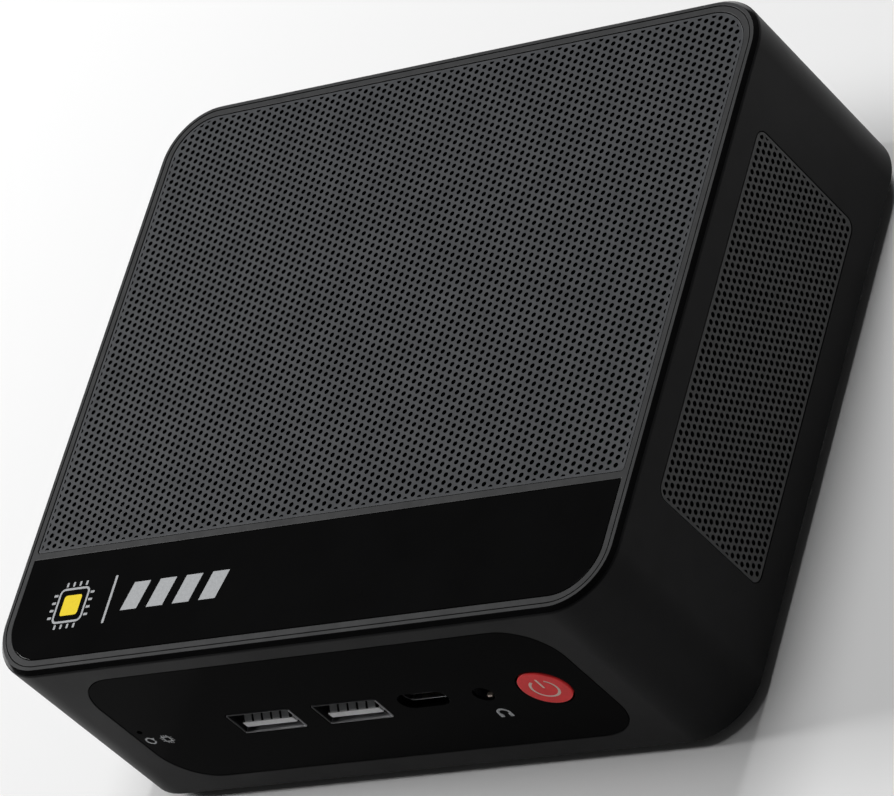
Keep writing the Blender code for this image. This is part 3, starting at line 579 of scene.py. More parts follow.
def case_wall():
    """The wall all round: soft top and bottom edges, and a softened window in each flat side."""
    draft = Draft()
    outer_levels = ((FOOT_LEVEL, 0.22), (FOOT_LEVEL + 0.06, 0.06), (FOOT_LEVEL + 0.2, 0.0),
                    (WALL_TOP - 0.42, 0.0), (WALL_TOP - 0.27, 0.02), (WALL_TOP - 0.12, 0.08),
                    (WALL_TOP, 0.19))
    outer = [draft.ring(GROUND, case_outline(inset), z) for z, inset in outer_levels]
    lower, upper = 2, 3                # the two rings between which the tall flat sides stand
    draft.loft(outer[:lower + 1])
    draft.loft(outer[upper:])
    inner_low = draft.ring(GROUND, case_outline(WALL), FOOT_LEVEL)
    inner_high = draft.ring(GROUND, case_outline(WALL), SEAT_LEVEL)
    draft.band(inner_low, outer[0])
    rim = [draft.ring(GROUND, case_outline(RIM_INSET), z) for z in (WALL_TOP, SEAT_LEVEL)]
    draft.loft([outer[-1], *rim, inner_high])
    per_corner = CORNER_STEPS + 1
    count = 4 * per_corner
    for corner in range(4):
        first = corner * per_corner
        for i in range(first, first + CORNER_STEPS):
            draft.face((outer[lower][i], outer[lower][i + 1], outer[upper][i + 1], outer[upper][i]))
            draft.face((inner_high[i], inner_high[i + 1], inner_low[i + 1], inner_low[i]))
        a, b = first + CORNER_STEPS, (first + per_corner) % count
        plane, window = wall_sides()[corner]
        rings = edge_rings(draft, plane, window, 0.0, 0.14, 3, 1)
        rings.append(draft.ring(plane, window(), -WALL))
        draft.loft(rings)
        draft.fill(plane, [outer[lower][a], outer[lower][b], outer[upper][b], outer[upper][a]],
                   [rings[0]])
        draft.fill(plane, [inner_low[a], inner_low[b], inner_high[b], inner_high[a]],
                   [rings[-1]], turned=True)
    screw_posts(draft)
    draft.piece("case_wall", "case", [SHELL], ["body_shell"], even=True)


def screw_place(number):
    """The middle of a cover screw on the underside, whose v axis runs towards -Y."""
    low, high = box_mm("cover_screw_%d" % number)
    return (low.x + high.x) / 2, -(low.y + high.y) / 2


def screw_posts(draft):
    """The square posts inside the corners that the cover screws go into."""
    half, base, length = 3.5, 4.4, 11.7
    for number in range(1, 5):
        u, v = screw_place(number)
        plate(draft, UNDER, block(u, v, half, half, 0.5), [circle(u, v, 1.5, 20)], -base, length,
              0.1)


def windows():
    """The outlines of the grille's window and the strip's window in the top frame."""
    made = []
    for node, radii in (("top_grille", (0.65, 0.65, WINDOW_RADIUS, WINDOW_RADIUS)),
                        ("badge_strip", (WINDOW_RADIUS, WINDOW_RADIUS, STRIP_RADIUS, STRIP_RADIUS))):
        low, high = box_mm(node)
        made.append(rounded((low.x - SEAM, low.y - SEAM), (high.x + SEAM, high.y + SEAM), radii, 16))
    return made


def rim_frame():
    """The top frame: a polished chamfer, a grey lip, a groove, and an inner ring with two windows."""
    draft = Draft()
    # The dark material is painted shade: it colours the groove, the walls and seats of the windows
    # and the hidden deck.
    grey, polished, dark = 0, 1, 2
    lip_level, ring_level, groove_level = 0.0, -0.03, -0.38

    def rings(*steps):
        return [draft.ring(TOP, case_outline(inset), level) for inset, level in steps]

    base = WALL_TOP - HEIGHT
    chamfer = rings((RIM_INSET, base - 0.1), (0.20, base + 0.005), (0.27, base + 0.08),
                    (0.33, base + 0.15), (0.80, -0.06), (0.85, -0.02))
    draft.loft(chamfer, polished)
    lip = rings((0.85, -0.02), (0.88, lip_level), (1.42, lip_level), (1.45, -0.02))
    draft.loft(lip, grey)
    groove = rings((1.45, -0.02), (1.47, groove_level), (1.62, groove_level),
                   (1.64, ring_level - 0.03))
    draft.loft(groove, dark)
    ring = rings((1.64, ring_level - 0.03), (1.68, ring_level))
    draft.loft(ring, grey)
    tops, seats = [], []
    seat = SEAT_LEVEL - HEIGHT
    for window in windows():
        edge = edge_rings(draft, TOP, window, ring_level, 0.07, 2, 1)
        draft.loft(edge, grey)
        wall = [edge[-1], draft.ring(TOP, window(), seat)]
        draft.loft(wall, dark)
        tops.append(edge[0])
        seats.append(wall[-1])
    draft.fill(TOP, ring[-1], tops, grey)
    opening = windows()[0](-LEDGE)
    opening_top = draft.ring(TOP, opening, seat)
    opening_base = draft.ring(TOP, opening, FRAME_BASE - HEIGHT)
    draft.fill(TOP, seats[0], [opening_top], dark)
    draft.fill(TOP, seats[1], (), dark)
    draft.band(opening_top, opening_base, dark)
    deck = rings((WALL + 0.3, FRAME_BASE - HEIGHT), (WALL + 0.3, seat - 0.02),
                 (RIM_INSET, seat - 0.02), (RIM_INSET, base - 0.1))
    draft.loft(deck, dark)
    draft.fill(TOP, deck[0], [opening_base], dark, turned=True)
    draft.piece("rim_frame", "case", [FRAME_GREY, CHAMFER, SHADE_BLACK], ["top_frame"])


def perforated(draft, plane, outline, region, centres, radius, level, depth, edge=0.06):
    """A thin sheet with a field of round holes, cut off where they cross the edge of the field."""
    outer = edge_rings(draft, plane, outline, level, edge, 2)
    outer.append(draft.ring(plane, outline(), level - depth))
    draft.loft(outer[::-1])
    tops = []
    smallest = 0.12 * math.pi * radius ** 2    # a smaller piece of a hole is left out
    for u, v in centres:
        hole = circle(u, v, radius, HOLE_SIDES, math.pi / HOLE_SIDES)()
        hole = without_doubles(clipped(hole, region))
        if len(hole) < 3 or area(hole) < smallest:
            continue
        top = draft.ring(plane, hole, level)
        # The hole walls take material 1, near-black painted shade, because the holes' insides show
        # only shade.
        draft.band(top, draft.ring(plane, hole, level - depth), 1)
        tops.append(top)
    draft.fill(plane, outer[0], tops)


def top_mesh():
    """The perforated sheet in the top, with its holes in staggered columns."""
    low, high = box_mm("top_grille")
    outline = rounded((low.x, low.y), (high.x, high.y),
                      (0.5, 0.5, WINDOW_RADIUS - SEAM, WINDOW_RADIUS - SEAM), 16)
    border = TOP_BORDER - SEAM
    region = rounded((low.x + border, low.y + border), (high.x - border, high.y - border),
                     (0.4, 0.4, WINDOW_RADIUS - TOP_BORDER, WINDOW_RADIUS - TOP_BORDER), 12)()
    half_columns = math.ceil((high.x - border) / TOP_PITCH)
    rows = math.ceil((high.y - low.y) / TOP_PITCH) + 1
    centres = []
    for column in range(-half_columns, half_columns):
        shift = 0.0 if column % 2 == 0 else TOP_PITCH / 2
        for row in range(rows):
            centres.append(((column + 0.5) * TOP_PITCH, TOP_FIRST_ROW + shift - row * TOP_PITCH))
    draft = Draft()
    perforated(draft, TOP, outline, region, centres, TOP_HOLE, -0.12, 0.55)
    draft.piece("top_mesh", "case", [MESH_GREY, SHADE_BLACK], ["top_grille"])


def side_mesh(name, plane, node):
    """A side vent's perforated sheet, with its holes in staggered rows."""
    window = vent_window()
    low, high = box_mm("vent_grille_right")
    half = high.y - FLANGE - VENT_BORDER
    region = rounded((-half, low.z + FLANGE + VENT_BORDER), (half, high.z - FLANGE - VENT_BORDER),
                     VENT_RADIUS - VENT_BORDER, 8)()
    columns = math.ceil(half / VENT_PITCH) + 1
    centres = []
    for row in range(VENT_ROWS):
        shift = 0.5 if row % 2 == 0 else 0.0
        for column in range(-columns, columns + 1):
            centres.append(((column + shift) * VENT_PITCH, VENT_FIRST_ROW - row * VENT_PITCH))
    draft = Draft()
    perforated(draft, plane, lambda offset=0.0: window(offset - SEAM), region, centres, VENT_HOLE,
               -0.04, 0.8)
    draft.piece(name, "case", [VENT_GREY, SHADE_BLACK], [node])


def gloss_strip():
    """The plain glossy strip across the front of the top."""
    low, high = box_mm("badge_strip")
    radius = WINDOW_RADIUS - SEAM
    outline = rounded((low.x, low.y), (high.x, high.y), (radius, radius, STRIP_RADIUS, STRIP_RADIUS),
                      16)
    draft = Draft()
    plate(draft, TOP, outline, (), STRIP_LEVEL, 0.6, 0.08)
    draft.piece("gloss_strip", "case", [GLOSS], ["badge_strip"])


def strip_marks():
    """Plain printed marks on the strip: a chip sign, a dividing bar and four slanted bars."""
    draft = Draft()
    grey, yellow = 0, 1
    u, v, half, core, line = -48.5, -43.8, 3.1, 1.9, 0.2
    square = block(u, v, half, half, 0.9, 6)
    printed(draft, TOP, square(line), STRIP_LEVEL, grey, square(-line))
    printed(draft, TOP, block(u, v, core, core, 0.5, 6)(), STRIP_LEVEL, yellow)
    printed_pins(draft, TOP, (u, v), [-2.1 + 1.4 * n for n in range(4)], (half + 0.45, half + 1.3),
                 0.22, STRIP_LEVEL)
    printed_bar(draft, TOP, (-40.25, -48.1), (-39.75, -39.2), STRIP_LEVEL)
    low, high, width, slant = -46.1, -41.0, 3.5, 1.4
    for number in range(4):
        u = -36.9 + 5.6 * number
        printed(draft, TOP, [(u, low), (u + width, low), (u + width + slant, high),
                             (u + slant, high)], STRIP_LEVEL, grey)
    draft.piece("strip_marks", "case", [INK_GREY, YELLOW])


# ---------------------------------------------------------------- front
def port_outline(node, grow, radius, steps=6):
    """A front socket's outline, grown by some millimetres."""
    low, high = box_mm(node)
    return rounded((low.x - grow, low.z - grow), (high.x + grow, high.z + grow), radius + grow, steps)


def gloss_panel():
    """The glossy front panel with its holes, and the hidden flange behind the wall."""
    window = panel_window("front_panel")
    holes = [port_outline("usb_a_shell_1", 0.1, 0.4), port_outline("usb_a_shell_2", 0.1, 0.4),
             port_outline("usb_c_shell", 0.3, 1.6, 10), circle(JACK_X, JACK_Z, JACK_RADIUS + 0.02),
             circle(BUTTON_X, BUTTON_Z, BUTTON_RADIUS + 0.28, 64),
             circle(RESET_X, RESET_Z, RESET_RADIUS, 20)]
    draft = Draft()
    plate(draft, FACE_FRONT, lambda offset=0.0: window(offset - SEAM * 0.6), holes, PANEL_LEVEL,
          WALL + 1.3, 0.1, 0.12)
    flange_holes = [lambda offset=0.0, hole=hole: hole(offset + 0.02) for hole in holes]
    plate(draft, FACE_FRONT, lambda offset=0.0: window(offset + FLANGE), flange_holes, -WALL - 0.3,
          1.0, 0.05, 0.02)
    draft.piece("gloss_panel", "case", [PANEL], ["front_panel"])


def panel_marks():
    """Printed signs: headphones, and a turning arrow and a chip by the small hole."""
    draft = Draft()
    u, v = 25.9, 15.95
    printed(draft, FACE_FRONT, stroke(arc(u, v, 1.06, -14, 194), 0.5), PANEL_LEVEL)
    for pad in (u - 0.94, u + 0.94):
        printed_bar(draft, FACE_FRONT, (pad - 0.38, v - 1.16), (pad + 0.38, v - 0.1),
                    PANEL_LEVEL + INK, 0.3, 4)
    u, v = -45.4, 19.0
    printed(draft, FACE_FRONT, stroke(arc(u, v, 0.85, 60, 350), 0.3), PANEL_LEVEL)
    printed(draft, FACE_FRONT, [(u + 0.3, v + 0.75), (u + 1.25, v + 0.8), (u + 0.75, v - 0.1)],
            PANEL_LEVEL + INK)
    u, half = -41.8, 0.8
    square = block(u, v, half, half, 0.2, 3)
    printed(draft, FACE_FRONT, square(), PANEL_LEVEL, 0, square(-0.28))
    printed_pins(draft, FACE_FRONT, (u, v), (-0.5, 0.0, 0.5), (0.88, 1.25), 0.1, PANEL_LEVEL, 0.04, 1)
    draft.piece("panel_marks", "case", [INK_GREY])


def button():
    """The red button: a cap with a sunk power sign whose floor is light, its flange and its stem."""
    draft = Draft()
    red, light = 0, 1
    face = -FRONT - BUTTON_LOW.y
    sign_depth = 0.07
    ring_line = stroke(arc(BUTTON_X, BUTTON_Z, 2.32, 120, 420, 48), 0.5)
    bar = rounded((BUTTON_X - 0.25, BUTTON_Z + 0.05), (BUTTON_X + 0.25, BUTTON_Z + 2.75), 0.22, 5)()
    cap = circle(BUTTON_X, BUTTON_Z, BUTTON_RADIUS, 96)
    outer = edge_rings(draft, FACE_FRONT, cap, face, 0.22, 5)
    outer.append(draft.ring(FACE_FRONT, cap(), -WALL - 1.0))
    draft.loft(outer[::-1], red)
    tops = []
    for outline in (ring_line, bar):
        if area(outline) < 0:
            outline = outline[::-1]
        top = draft.ring(FACE_FRONT, outline, face)
        floor = draft.ring(FACE_FRONT, outline, face - sign_depth)
        draft.band(top, floor, red)
        draft.fill(FACE_FRONT, floor, (), light)
        tops.append(top)
    draft.fill(FACE_FRONT, outer[0], tops, red)
    draft.fill(FACE_FRONT, outer[-1], (), red, turned=True)
    back = -(BUTTON_HIGH.y + FRONT)
    centre, flange, stem = (BUTTON_X, BUTTON_Z), 5.6, 1.5
    turned(draft, centre, ((flange - 0.2, back + 1.1), (flange, back + 1.3), (flange, back + 1.9),
                           (flange - 0.2, back + 2.0)), red, 64, FACE_FRONT)
    turned(draft, centre, ((stem - 0.1, back), (stem, back + 0.1), (stem, back + 1.4)), red, 32,
           FACE_FRONT)
    draft.piece("power_button_cap", "power_button", [RED, INLAY_AND_GLINT], ["power_button"])


def sheet_shell(draft, plane, outline, mouth, depth, wall=0.3):
    """A sheet-metal socket shell with a rolled lip, open at its mouth and closed at its inner end."""
    roll, lip_steps = wall / 2, 6
    back = draft.ring(plane, outline(), mouth - depth)
    rings = [back, draft.ring(plane, outline(), mouth - roll)]
    for step in range(1, lip_steps):
        turn = math.pi * step / lip_steps
        rings.append(draft.ring(plane, outline(-roll * (1 - math.cos(turn))),
                                mouth - roll * (1 - math.sin(turn))))
    rings += [draft.ring(plane, outline(-wall), mouth - roll),
              draft.ring(plane, outline(-wall), mouth - depth + 0.5)]
    draft.loft(rings)
    draft.fill(plane, rings[-1])
    draft.fill(plane, back, turned=True)


def finger(draft, plane, u, v, width, start, length, rise, look=0):
    """A leaf spring lying along the depth of a socket: a thin strip that bows by its rise."""
    thick, steps, sooner = 0.12, 8, 1.15
    far = thick if rise > 0 else -thick
    sections = []
    for step in range(steps + 1):
        share = step / steps
        level = v + rise * math.sin(math.pi * min(share * sooner, 1.0))
        corners = ((u - width / 2, level), (u + width / 2, level),
                   (u + width / 2, level + far), (u - width / 2, level + far))
        sections.append(draft.ring(plane, corners, start - length * share))
    if rise > 0:
        sections.reverse()
    draft.loft(sections, look)
    draft.face(sections[0][::-1], look)
    draft.face(sections[-1], look)


def contacts(draft, plane, places, half, layers, level, length, edge=0.01):
    """Flat contacts on a tongue, at places along it, each between the heights of a layer."""
    for u in places:
        for low, high in layers:
            solid(draft, plane, rounded((u - half, low), (u + half, high), edge, 1), level, length,
                  edge, 1)


def both_faces(level, near, far):
    """The layers of contacts under and over a tongue."""
    return (level - far, level - near), (level + near, level + far)


def usb_a(number):
    """A type A socket: shell with leaf springs, light tongue, and five ribs over the tongue."""
    shell, tongue = "usb_a_shell_%d" % number, "usb_a_tongue_%d" % number
    low, high = box_mm(shell)
    mouth = -FRONT - low.y
    middle = (low.x + high.x) / 2
    draft = Draft()
    sheet_shell(draft, FACE_FRONT, port_outline(shell, 0.0, 0.45), mouth, high.y - low.y, 0.32)
    # Painted highlight and shade: the bottom lip and the lower right lip take the lighter steel as
    # lit, the rest of the shell the near-black steel as in shade.
    draft.relook(1, lambda p: p.z < low.z + 0.4 or (p.x > high.x - 0.4 and p.z < high.z - 0.6))
    for u in (middle - 3.4, middle + 3.4):
        finger(draft, FACE_FRONT, u, high.z - 0.34, 2.0, mouth - 1.0, 6.0, -0.35)
        finger(draft, FACE_FRONT, u, low.z + 0.34, 2.0, mouth - 1.0, 6.0, 0.25)
    draft.piece("usb_a_case_%d" % number, "case", [SHADED_STEEL, LIT_LIP_STEEL], [shell])
    low, high = box_mm(tongue)
    half, under, over = 5.3, 19.5, 20.9
    face = -FRONT - low.y
    draft = Draft()
    solid(draft, FACE_FRONT, rounded((middle - half, under), (middle + half, over), 0.18, 4), face,
          high.y - low.y - 1.0, 0.1)
    # Painted shade: the light tongue's top face is made black where it lies in shade under the shell.
    draft.relook(1, lambda p: p.z > over - 0.02)
    solid(draft, FACE_FRONT, port_outline(tongue, 0.0, 0.3, 3), face - 10.5, 2.0, 0.1, 1)
    for rib in range(5):
        finger(draft, FACE_FRONT, middle - 3.9 + 1.95 * rib, over + 0.02, 1.45, face - 0.08, 7.0,
               1.5, 2)
    draft.piece("usb_a_blade_%d" % number, "case", [TONGUE_GREY, BLACK, GREY], [tongue])


def usb_c():
    """The type C socket: an oval shell and a thin tongue with its contacts."""
    low, high = box_mm("usb_c_shell")
    draft = Draft()
    sheet_shell(draft, FACE_FRONT, port_outline("usb_c_shell", 0.0, 1.6, 12), -FRONT - low.y,
                high.y - low.y)
    # Painted highlight and shade: the bottom of the shell takes the light steel as lit, the rest the
    # near-black steel as in shade.
    draft.relook(1, lambda p: p.z < low.z + 0.45)
    draft.piece("usb_c_case", "case", [SHADED_STEEL, STEEL], ["usb_c_shell"])
    low, high = box_mm("usb_c_tongue")
    middle, level = (low.x + high.x) / 2, (low.z + high.z) / 2
    face = -FRONT - low.y
    draft = Draft()
    solid(draft, FACE_FRONT, block(middle, level, 3.3, 0.35, 0.2), face, high.y - low.y - 1.0, 0.08)
    solid(draft, FACE_FRONT, port_outline("usb_c_tongue", 0.0, 1.0), face - 4.8, 1.8)
    contacts(draft, FACE_FRONT, [middle - 2.45 + 0.7 * n for n in range(8)], 0.17,
             both_faces(level, 0.33, 0.38), face - 0.6, 4.0)
    draft.piece("usb_c_blade", "case", [BLACK, GOLD], ["usb_c_tongue"])


def jack():
    """The audio socket: a block with a deep bore, a collar, and a sprung contact low in the bore,
    whose light end is a painted glint.
    """
    low, high = box_mm("audio_jack")
    black, copper, light = 0, 1, 2
    draft = Draft()
    top = -FRONT - low.y
    bore = circle(JACK_X, JACK_Z, JACK_RADIUS, 40)
    plate(draft, FACE_FRONT, port_outline("audio_jack", 0.0, 0.4, 4), [bore], top,
          high.y - low.y, 0.1)
    outer, inner = bore(-0.02), bore(-0.14)
    rings = [draft.ring(FACE_FRONT, outer, top - 0.2), draft.ring(FACE_FRONT, outer, -0.5),
             draft.ring(FACE_FRONT, inner, -0.45), draft.ring(FACE_FRONT, inner, top - 0.2)]
    draft.loft([*rings, rings[0]], black)
    contact_low = JACK_Z - JACK_RADIUS + 0.12
    finger(draft, FACE_FRONT, JACK_X + 0.1, contact_low, 0.9, -0.9, 4.0, 0.45, copper)
    # Painted glint: the contact's end takes the light inlay colour to stand in for a highlight.
    tip = rounded((JACK_X - 0.4, contact_low + 0.05), (JACK_X + 0.6, contact_low + 0.6), 0.2, 4)
    solid(draft, FACE_FRONT, tip, -0.5, 0.6, 0.08, light)
    draft.piece("audio_jack_body", "case", [BLACK, COPPER, INLAY_AND_GLINT], ["audio_jack"])


# ---------------------------------------------------------------- rear
def rear_outline(node, grow, radius, steps=4):
    """A rear socket's outline on the rear face, whose u axis runs towards -X."""
    low, high = box_mm(node)
    return rounded((-high.x - grow, low.z - grow), (-low.x + grow, high.z + grow), radius + grow,
                   steps)


def inlet_centre():
    low, high = box_mm("power_inlet")
    return -(low.x + high.x) / 2, low.z + 4.5


def back_panel():
    """The rear panel: socket holes and a row of exhaust slots."""
    window = panel_window("rear_panel")
    u, v = inlet_centre()
    gap, slot_level, slot_half, slot_reach = 0.12, 32.25, 1.1, 3.75
    holes = [rear_outline("video_shell_1", gap, 1.0), rear_outline("video_shell_2", gap, 1.0),
             circle(u, v, INLET_RADIUS + 0.15, 40), rear_outline("usb_stack_shell", gap, 0.4),
             rear_outline("lan_socket", gap, 0.4)]
    holes += [block(43.3 - 4.2 * n, slot_level, slot_half, slot_reach, 1.05, 6) for n in range(14)]
    draft = Draft()
    plate(draft, FACE_REAR, lambda offset=0.0: window(offset - SEAM), holes, -0.02, WALL + 1.2,
          hole_edge=0.15)
    draft.piece("back_panel", "case", [SHELL], ["rear_panel"])


def video_socket(number):
    """A rear video socket: shell with leaf springs, and a tongue with contacts on both faces."""
    shell, tongue = "video_shell_%d" % number, "video_tongue_%d" % number
    low, high = box_mm(shell)
    mouth = high.y - FRONT
    middle = -(low.x + high.x) / 2
    draft = Draft()
    sheet_shell(draft, FACE_REAR, rear_outline(shell, 0.0, 1.0, 6), mouth, high.y - low.y)
    for u in (middle - 4.0, middle + 4.0):
        finger(draft, FACE_REAR, u, high.z - 0.32, 1.8, mouth - 1.0, 5.0, -0.3)
    draft.piece("video_case_%d" % number, "case", [STEEL], [shell])
    low, high = box_mm(tongue)
    face = high.y - FRONT
    level = (low.z + high.z) / 2 + 0.4
    draft = Draft()
    solid(draft, FACE_REAR, block(middle, level, 5.0, 0.7, 0.2, 3), face, high.y - low.y - 1.0, 0.1)
    solid(draft, FACE_REAR, rear_outline(tongue, 0.0, 0.6), face - 7.0, 1.8)
    contacts(draft, FACE_REAR, [middle - 4.5 + n for n in range(10)], 0.22,
             both_faces(level, 0.68, 0.74), face - 0.5, 6.0)
    draft.piece("video_blade_%d" % number, "case", [BLACK, GOLD], [tongue])


def barrel_inlet():
    """The supply socket: a block, a round nose with a bore, and the centre pin."""
    low, high = box_mm("power_inlet")
    u, v = inlet_centre()
    nose = high.y - FRONT
    block_face, block_half, pin = -3.6, 4.5, 1.2
    block = rounded((-high.x, low.z), (-low.x, v + block_half), 0.4, 3)
    nose_out, bore = circle(u, v, INLET_RADIUS, 48), circle(u, v, INLET_BORE, 48)
    draft = Draft()
    plate(draft, FACE_REAR, block, [bore], block_face, FRONT + block_face - low.y, 0.1, 0.05)
    draft.loft([draft.ring(FACE_REAR, outline, level) for outline, level in (
        (nose_out(), block_face), (nose_out(), nose - 0.15), (nose_out(-0.15), nose),
        (bore(0.1), nose), (bore(), nose - 0.1), (bore(), block_face - 0.1))])
    turned(draft, (u, v), ((pin, -10.0), (pin, nose - 1.5), (pin - 0.15, nose - 1.15),
                           (pin / 2, nose - 1.0)), 1, 32, FACE_REAR)
    draft.piece("barrel_inlet", "case", [BLACK, STEEL], ["power_inlet"])


def usb_pair():
    """The double type A socket at the rear: a tall shell with a middle bar, and two tongues."""
    low, high = box_mm("usb_stack_shell")
    mouth, depth = high.y - FRONT, high.y - low.y
    middle = -(low.x + high.x) / 2
    mouths = [block(middle, z, 6.25, 2.55, 0.25, 3) for z in (low.z + 2.9, high.z - 2.9)]
    outline = rear_outline("usb_stack_shell", 0.0, 0.4)
    draft = Draft()
    plate(draft, FACE_REAR, outline, mouths, mouth, depth - 0.5, 0.12)
    solid(draft, FACE_REAR, outline, mouth - depth + 0.5, 0.4)
    draft.piece("usb_pair_case", "case", [STEEL], ["usb_stack_shell"])
    tongue_low, tongue_high = box_mm("usb_stack_tongues")
    face = tongue_high.y - FRONT
    draft = Draft()
    for z in (low.z + 3.5, high.z - 2.3):
        solid(draft, FACE_REAR, block(middle, z, 5.5, 0.9, 0.2, 3), face,
              tongue_high.y - tongue_low.y - 1.0, 0.1)
        contacts(draft, FACE_REAR, [middle - 3.5 + 7.0 / 3 * n for n in range(4)], 0.5,
                 [(z - 0.97, z - 0.88)], face - 0.6, 7.0, 0.02)
    draft.piece("usb_pair_blades", "case", [BLACK, GOLD], ["usb_stack_tongues"])


def network_socket():
    """The network socket: a metal block, its mouth with a latch way, and eight contact wires."""
    low, high = box_mm("lan_socket")
    mouth, depth = high.y - FRONT, high.y - low.y
    middle = -(low.x + high.x) / 2
    floor_level, roof, back_block = low.z + 1.2, low.z + 8.0, 6.0

    def opening(offset=0.0):
        """The mouth's outline: a wide slot with two narrower steps over it for the plug's latch."""
        steps = ((5.9, floor_level - 2 * offset), (5.9, roof), (3.0, roof), (3.0, roof + 1.2),
                 (1.6, roof + 1.2), (1.6, roof + 2.0))
        right = [(u + offset, v + offset) for u, v in steps]
        left = [(-u, v) for u, v in right[::-1]]
        return [(middle + u, v) for u, v in right + left]

    outline = rear_outline("lan_socket", 0.0, 0.4)
    draft = Draft()
    plate(draft, FACE_REAR, outline, [opening], mouth, depth - back_block, 0.12, 0.08)
    solid(draft, FACE_REAR, outline, mouth - depth + back_block, back_block - 0.1)
    lining, deep = (draft.ring(FACE_REAR, opening(-0.05), mouth - w) for w in (1.4, 13.5))
    draft.band(lining, deep, 1)
    draft.fill(FACE_REAR, deep, (), 1)
    for wire in range(8):
        finger(draft, FACE_REAR, middle - 3.57 + 1.02 * wire, floor_level + 0.3, 0.4, mouth - 3.0,
               9.0, 2.2, 2)
    draft.piece("network_socket", "case", [STEEL, BLACK, GOLD], ["lan_socket"])


# ---------------------------------------------------------------- underside
def base_cover():
    """The bottom cover: a moulded plate with rounded intake slots and sunk screw seats."""
    low, high = box_mm("bottom_cover")
    outline = rounded((low.x, -high.y), (high.x, -low.y), CORNER_RADIUS - WALL - 0.3, 16)
    holes = [block(4.5 * n - 33.75, 0.0, 1.1, 20.0, 1.05, 6) for n in range(16)]
    holes += [circle(*screw_place(number), SCREW_SEAT, 40) for number in range(1, 5)]
    draft = Draft()
    plate(draft, UNDER, outline, holes, -low.z, high.z - low.z, 0.2, 0.06)
    draft.piece("base_cover", "case", [SHELL], ["bottom_cover"])


def foot(node):
    """A rubber foot: a turned pad with a soft rim and a shallow dish."""
    low, high = box_mm(node)
    x, y = (low.x + high.x) / 2, (low.y + high.y) / 2
    radius = (high.x - low.x) / 2
    profile = ((0.2, 0.35), (3.6, 0.35), (4.1, 0.25), (4.5, 0.06), (4.7, 0.0), (5.3, 0.0),
               (5.65, 0.08), (5.9, 0.3), (radius, 0.6), (radius, 2.25))
    draft = Draft()
    turned(draft, (x, y), profile, 0, 64, GROUND)
    draft.piece(node + "_pad", "case", [RUBBER], [node])


def screw(number):
    """A cover screw: a low rounded head with a cross recess, and its shank."""
    node = "cover_screw_%d" % number
    low, high = box_mm(node)
    x, y = screw_place(number)
    draft = Draft()
    top, arm, half = -low.z, 1.35, 0.28
    head = [draft.ring(UNDER, circle(x, y, r, 48)(), w)
            for r, w in ((2.6, top - 0.9), (2.6, top - 0.3), (2.45, top - 0.1), (2.1, top))]
    draft.loft(head)
    cross = [(half, half), (half, arm), (-half, arm), (-half, half), (-arm, half), (-arm, -half),
             (-half, -half), (-half, -arm), (half, -arm), (half, -half), (arm, -half), (arm, half)]
    cross = [(x + u, y + v) for u, v in cross]
    rim, floor = draft.ring(UNDER, cross, top), draft.ring(UNDER, cross, top - 0.6)
    draft.band(rim, floor)
    draft.fill(UNDER, floor)
    draft.fill(UNDER, head[-1], [rim])
    shank = [draft.ring(UNDER, circle(x, y, 1.3, 32)(), w) for w in (-high.z, top - 0.9)]
    draft.loft(shank)
    draft.fill(UNDER, shank[0], turned=True)
    draft.fill(UNDER, head[0], [shank[-1]], turned=True)
    draft.piece(node + "_turned", "case", [STEEL], [node])


# ---------------------------------------------------------------- inside, carried over from the CAD
INSIDE = (
    (BOARD, ("mainboard", "processor", "memory_module_1", "memory_module_2", "ssd_module",
             "wifi_card", "antenna_left", "antenna_right")),
    (BLACK, ("antenna_lead_left", "antenna_lead_right", "battery_holder", "memory_socket",
             "ssd_socket", "wifi_socket", "fan_housing", "fan_rotor", "power_switch_body",
             "reset_switch_body")),
    (GREY, ("power_switch_plunger", "reset_switch_plunger")),
    (DARK_STEEL, ("fan_lid",)),
    (STEEL, ("clock_battery", "ssd_screw")),
    (COPPER, ("cooler_base", "heat_pipe_left", "heat_pipe_right")),
    (ALUMINIUM, ("fin_stack",)),
)


def dress_inside():
    """Give each carried-over node its material."""
    for look, names in INSIDE:
        for name in names:
            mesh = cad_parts[name].data
            mesh.materials.clear()
            mesh.materials.append(look)


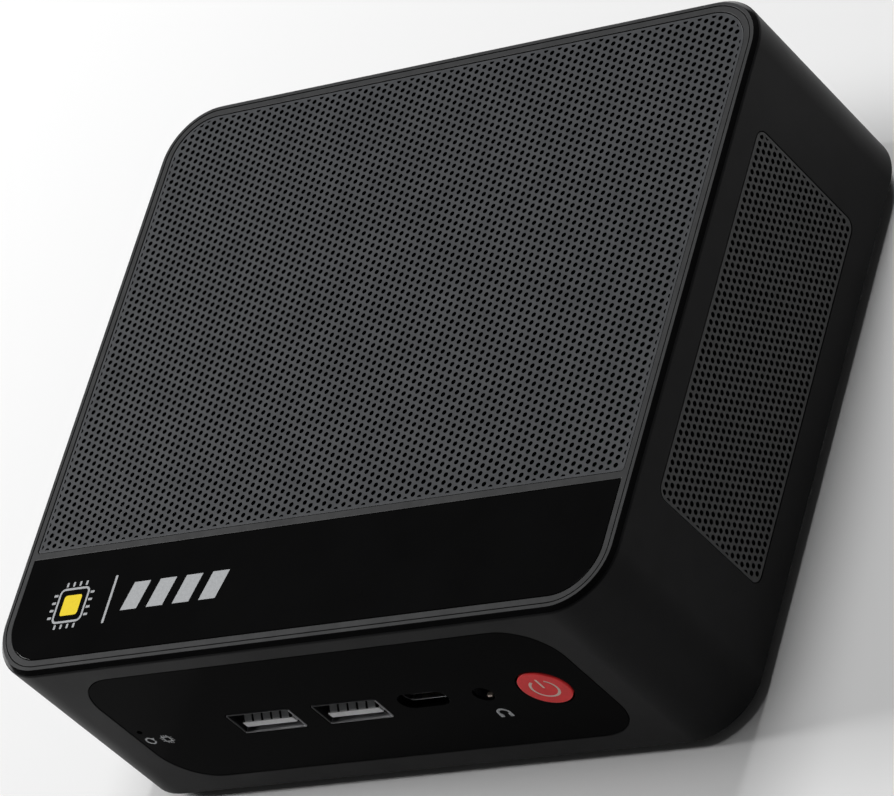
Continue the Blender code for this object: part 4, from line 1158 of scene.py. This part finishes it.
# ---------------------------------------------------------------- camera, floor and light
def camera():
    data = bpy.data.cameras.new("camera")
    data.lens = 213.083
    data.sensor_width = 36.0
    data.clip_start = 0.05
    data.clip_end = 20.0
    item = bpy.data.objects.new("camera", data)
    item.location = (0.53294, -0.40841, 0.55251)
    item.rotation_euler = [math.radians(a) for a in (40.3923, 35.565, 18.0819)]
    bpy.context.scene.collection.objects.link(item)
    bpy.context.scene.camera = item


def floor():
    look = Look("pale floor", (0.86, 0.86, 0.86), 0.9, specular=0.1)
    look.vary_colour(300.0, 0.01)
    bpy.ops.mesh.primitive_plane_add(size=12.0, location=(0.0, 0.0, -0.00005))
    item = bpy.context.object
    item.name = "floor"
    item.data.materials.append(look.material)


def softbox(name, azimuth, elevation, distance, size, watts):
    """A square area light that faces the case. Azimuth 0 is behind the case and 90 on its left."""
    turn, rise = math.radians(azimuth), math.radians(elevation)
    data = bpy.data.lights.new(name, "AREA")
    data.shape, data.size, data.energy = "SQUARE", size, watts
    item = bpy.data.objects.new(name, data)
    away = Vector((-math.sin(turn) * math.cos(rise), math.cos(turn) * math.cos(rise), math.sin(rise)))
    item.location = away * distance
    item.rotation_euler = away.to_track_quat("Z", "Y").to_euler()
    bpy.context.scene.collection.objects.link(item)


def light():
    """A faint white world and three soft lamps."""
    world = bpy.data.worlds.new("studio")
    world.use_nodes = True
    background = world.node_tree.nodes["Background"].inputs
    background["Color"].default_value = (1.0, 1.0, 1.0, 1.0)
    background["Strength"].default_value = 0.04
    bpy.context.scene.world = world
    softbox("key light", 91, 30, 1.2, 0.35, 11.5)
    softbox("back light", 2, 35, 1.8, 0.5, 22)
    softbox("top light", 150, 85, 1.6, 0.5, 4)
    bpy.context.scene.view_settings.view_transform = "Standard"


camera()
floor()
light()
case_wall()
rim_frame()
top_mesh()
side_mesh("vent_mesh_right", FACE_RIGHT, "vent_grille_right")
side_mesh("vent_mesh_left", FACE_LEFT, "vent_grille_left")
gloss_strip()
strip_marks()
gloss_panel()
panel_marks()
button()
for socket in (1, 2):
    usb_a(socket)
    video_socket(socket)
usb_c()
jack()
back_panel()
barrel_inlet()
usb_pair()
network_socket()
base_cover()
for corner_foot in ("foot_front_left", "foot_front_right", "foot_rear_left", "foot_rear_right"):
    foot(corner_foot)
for screw_number in range(1, 5):
    screw(screw_number)
dress_inside()
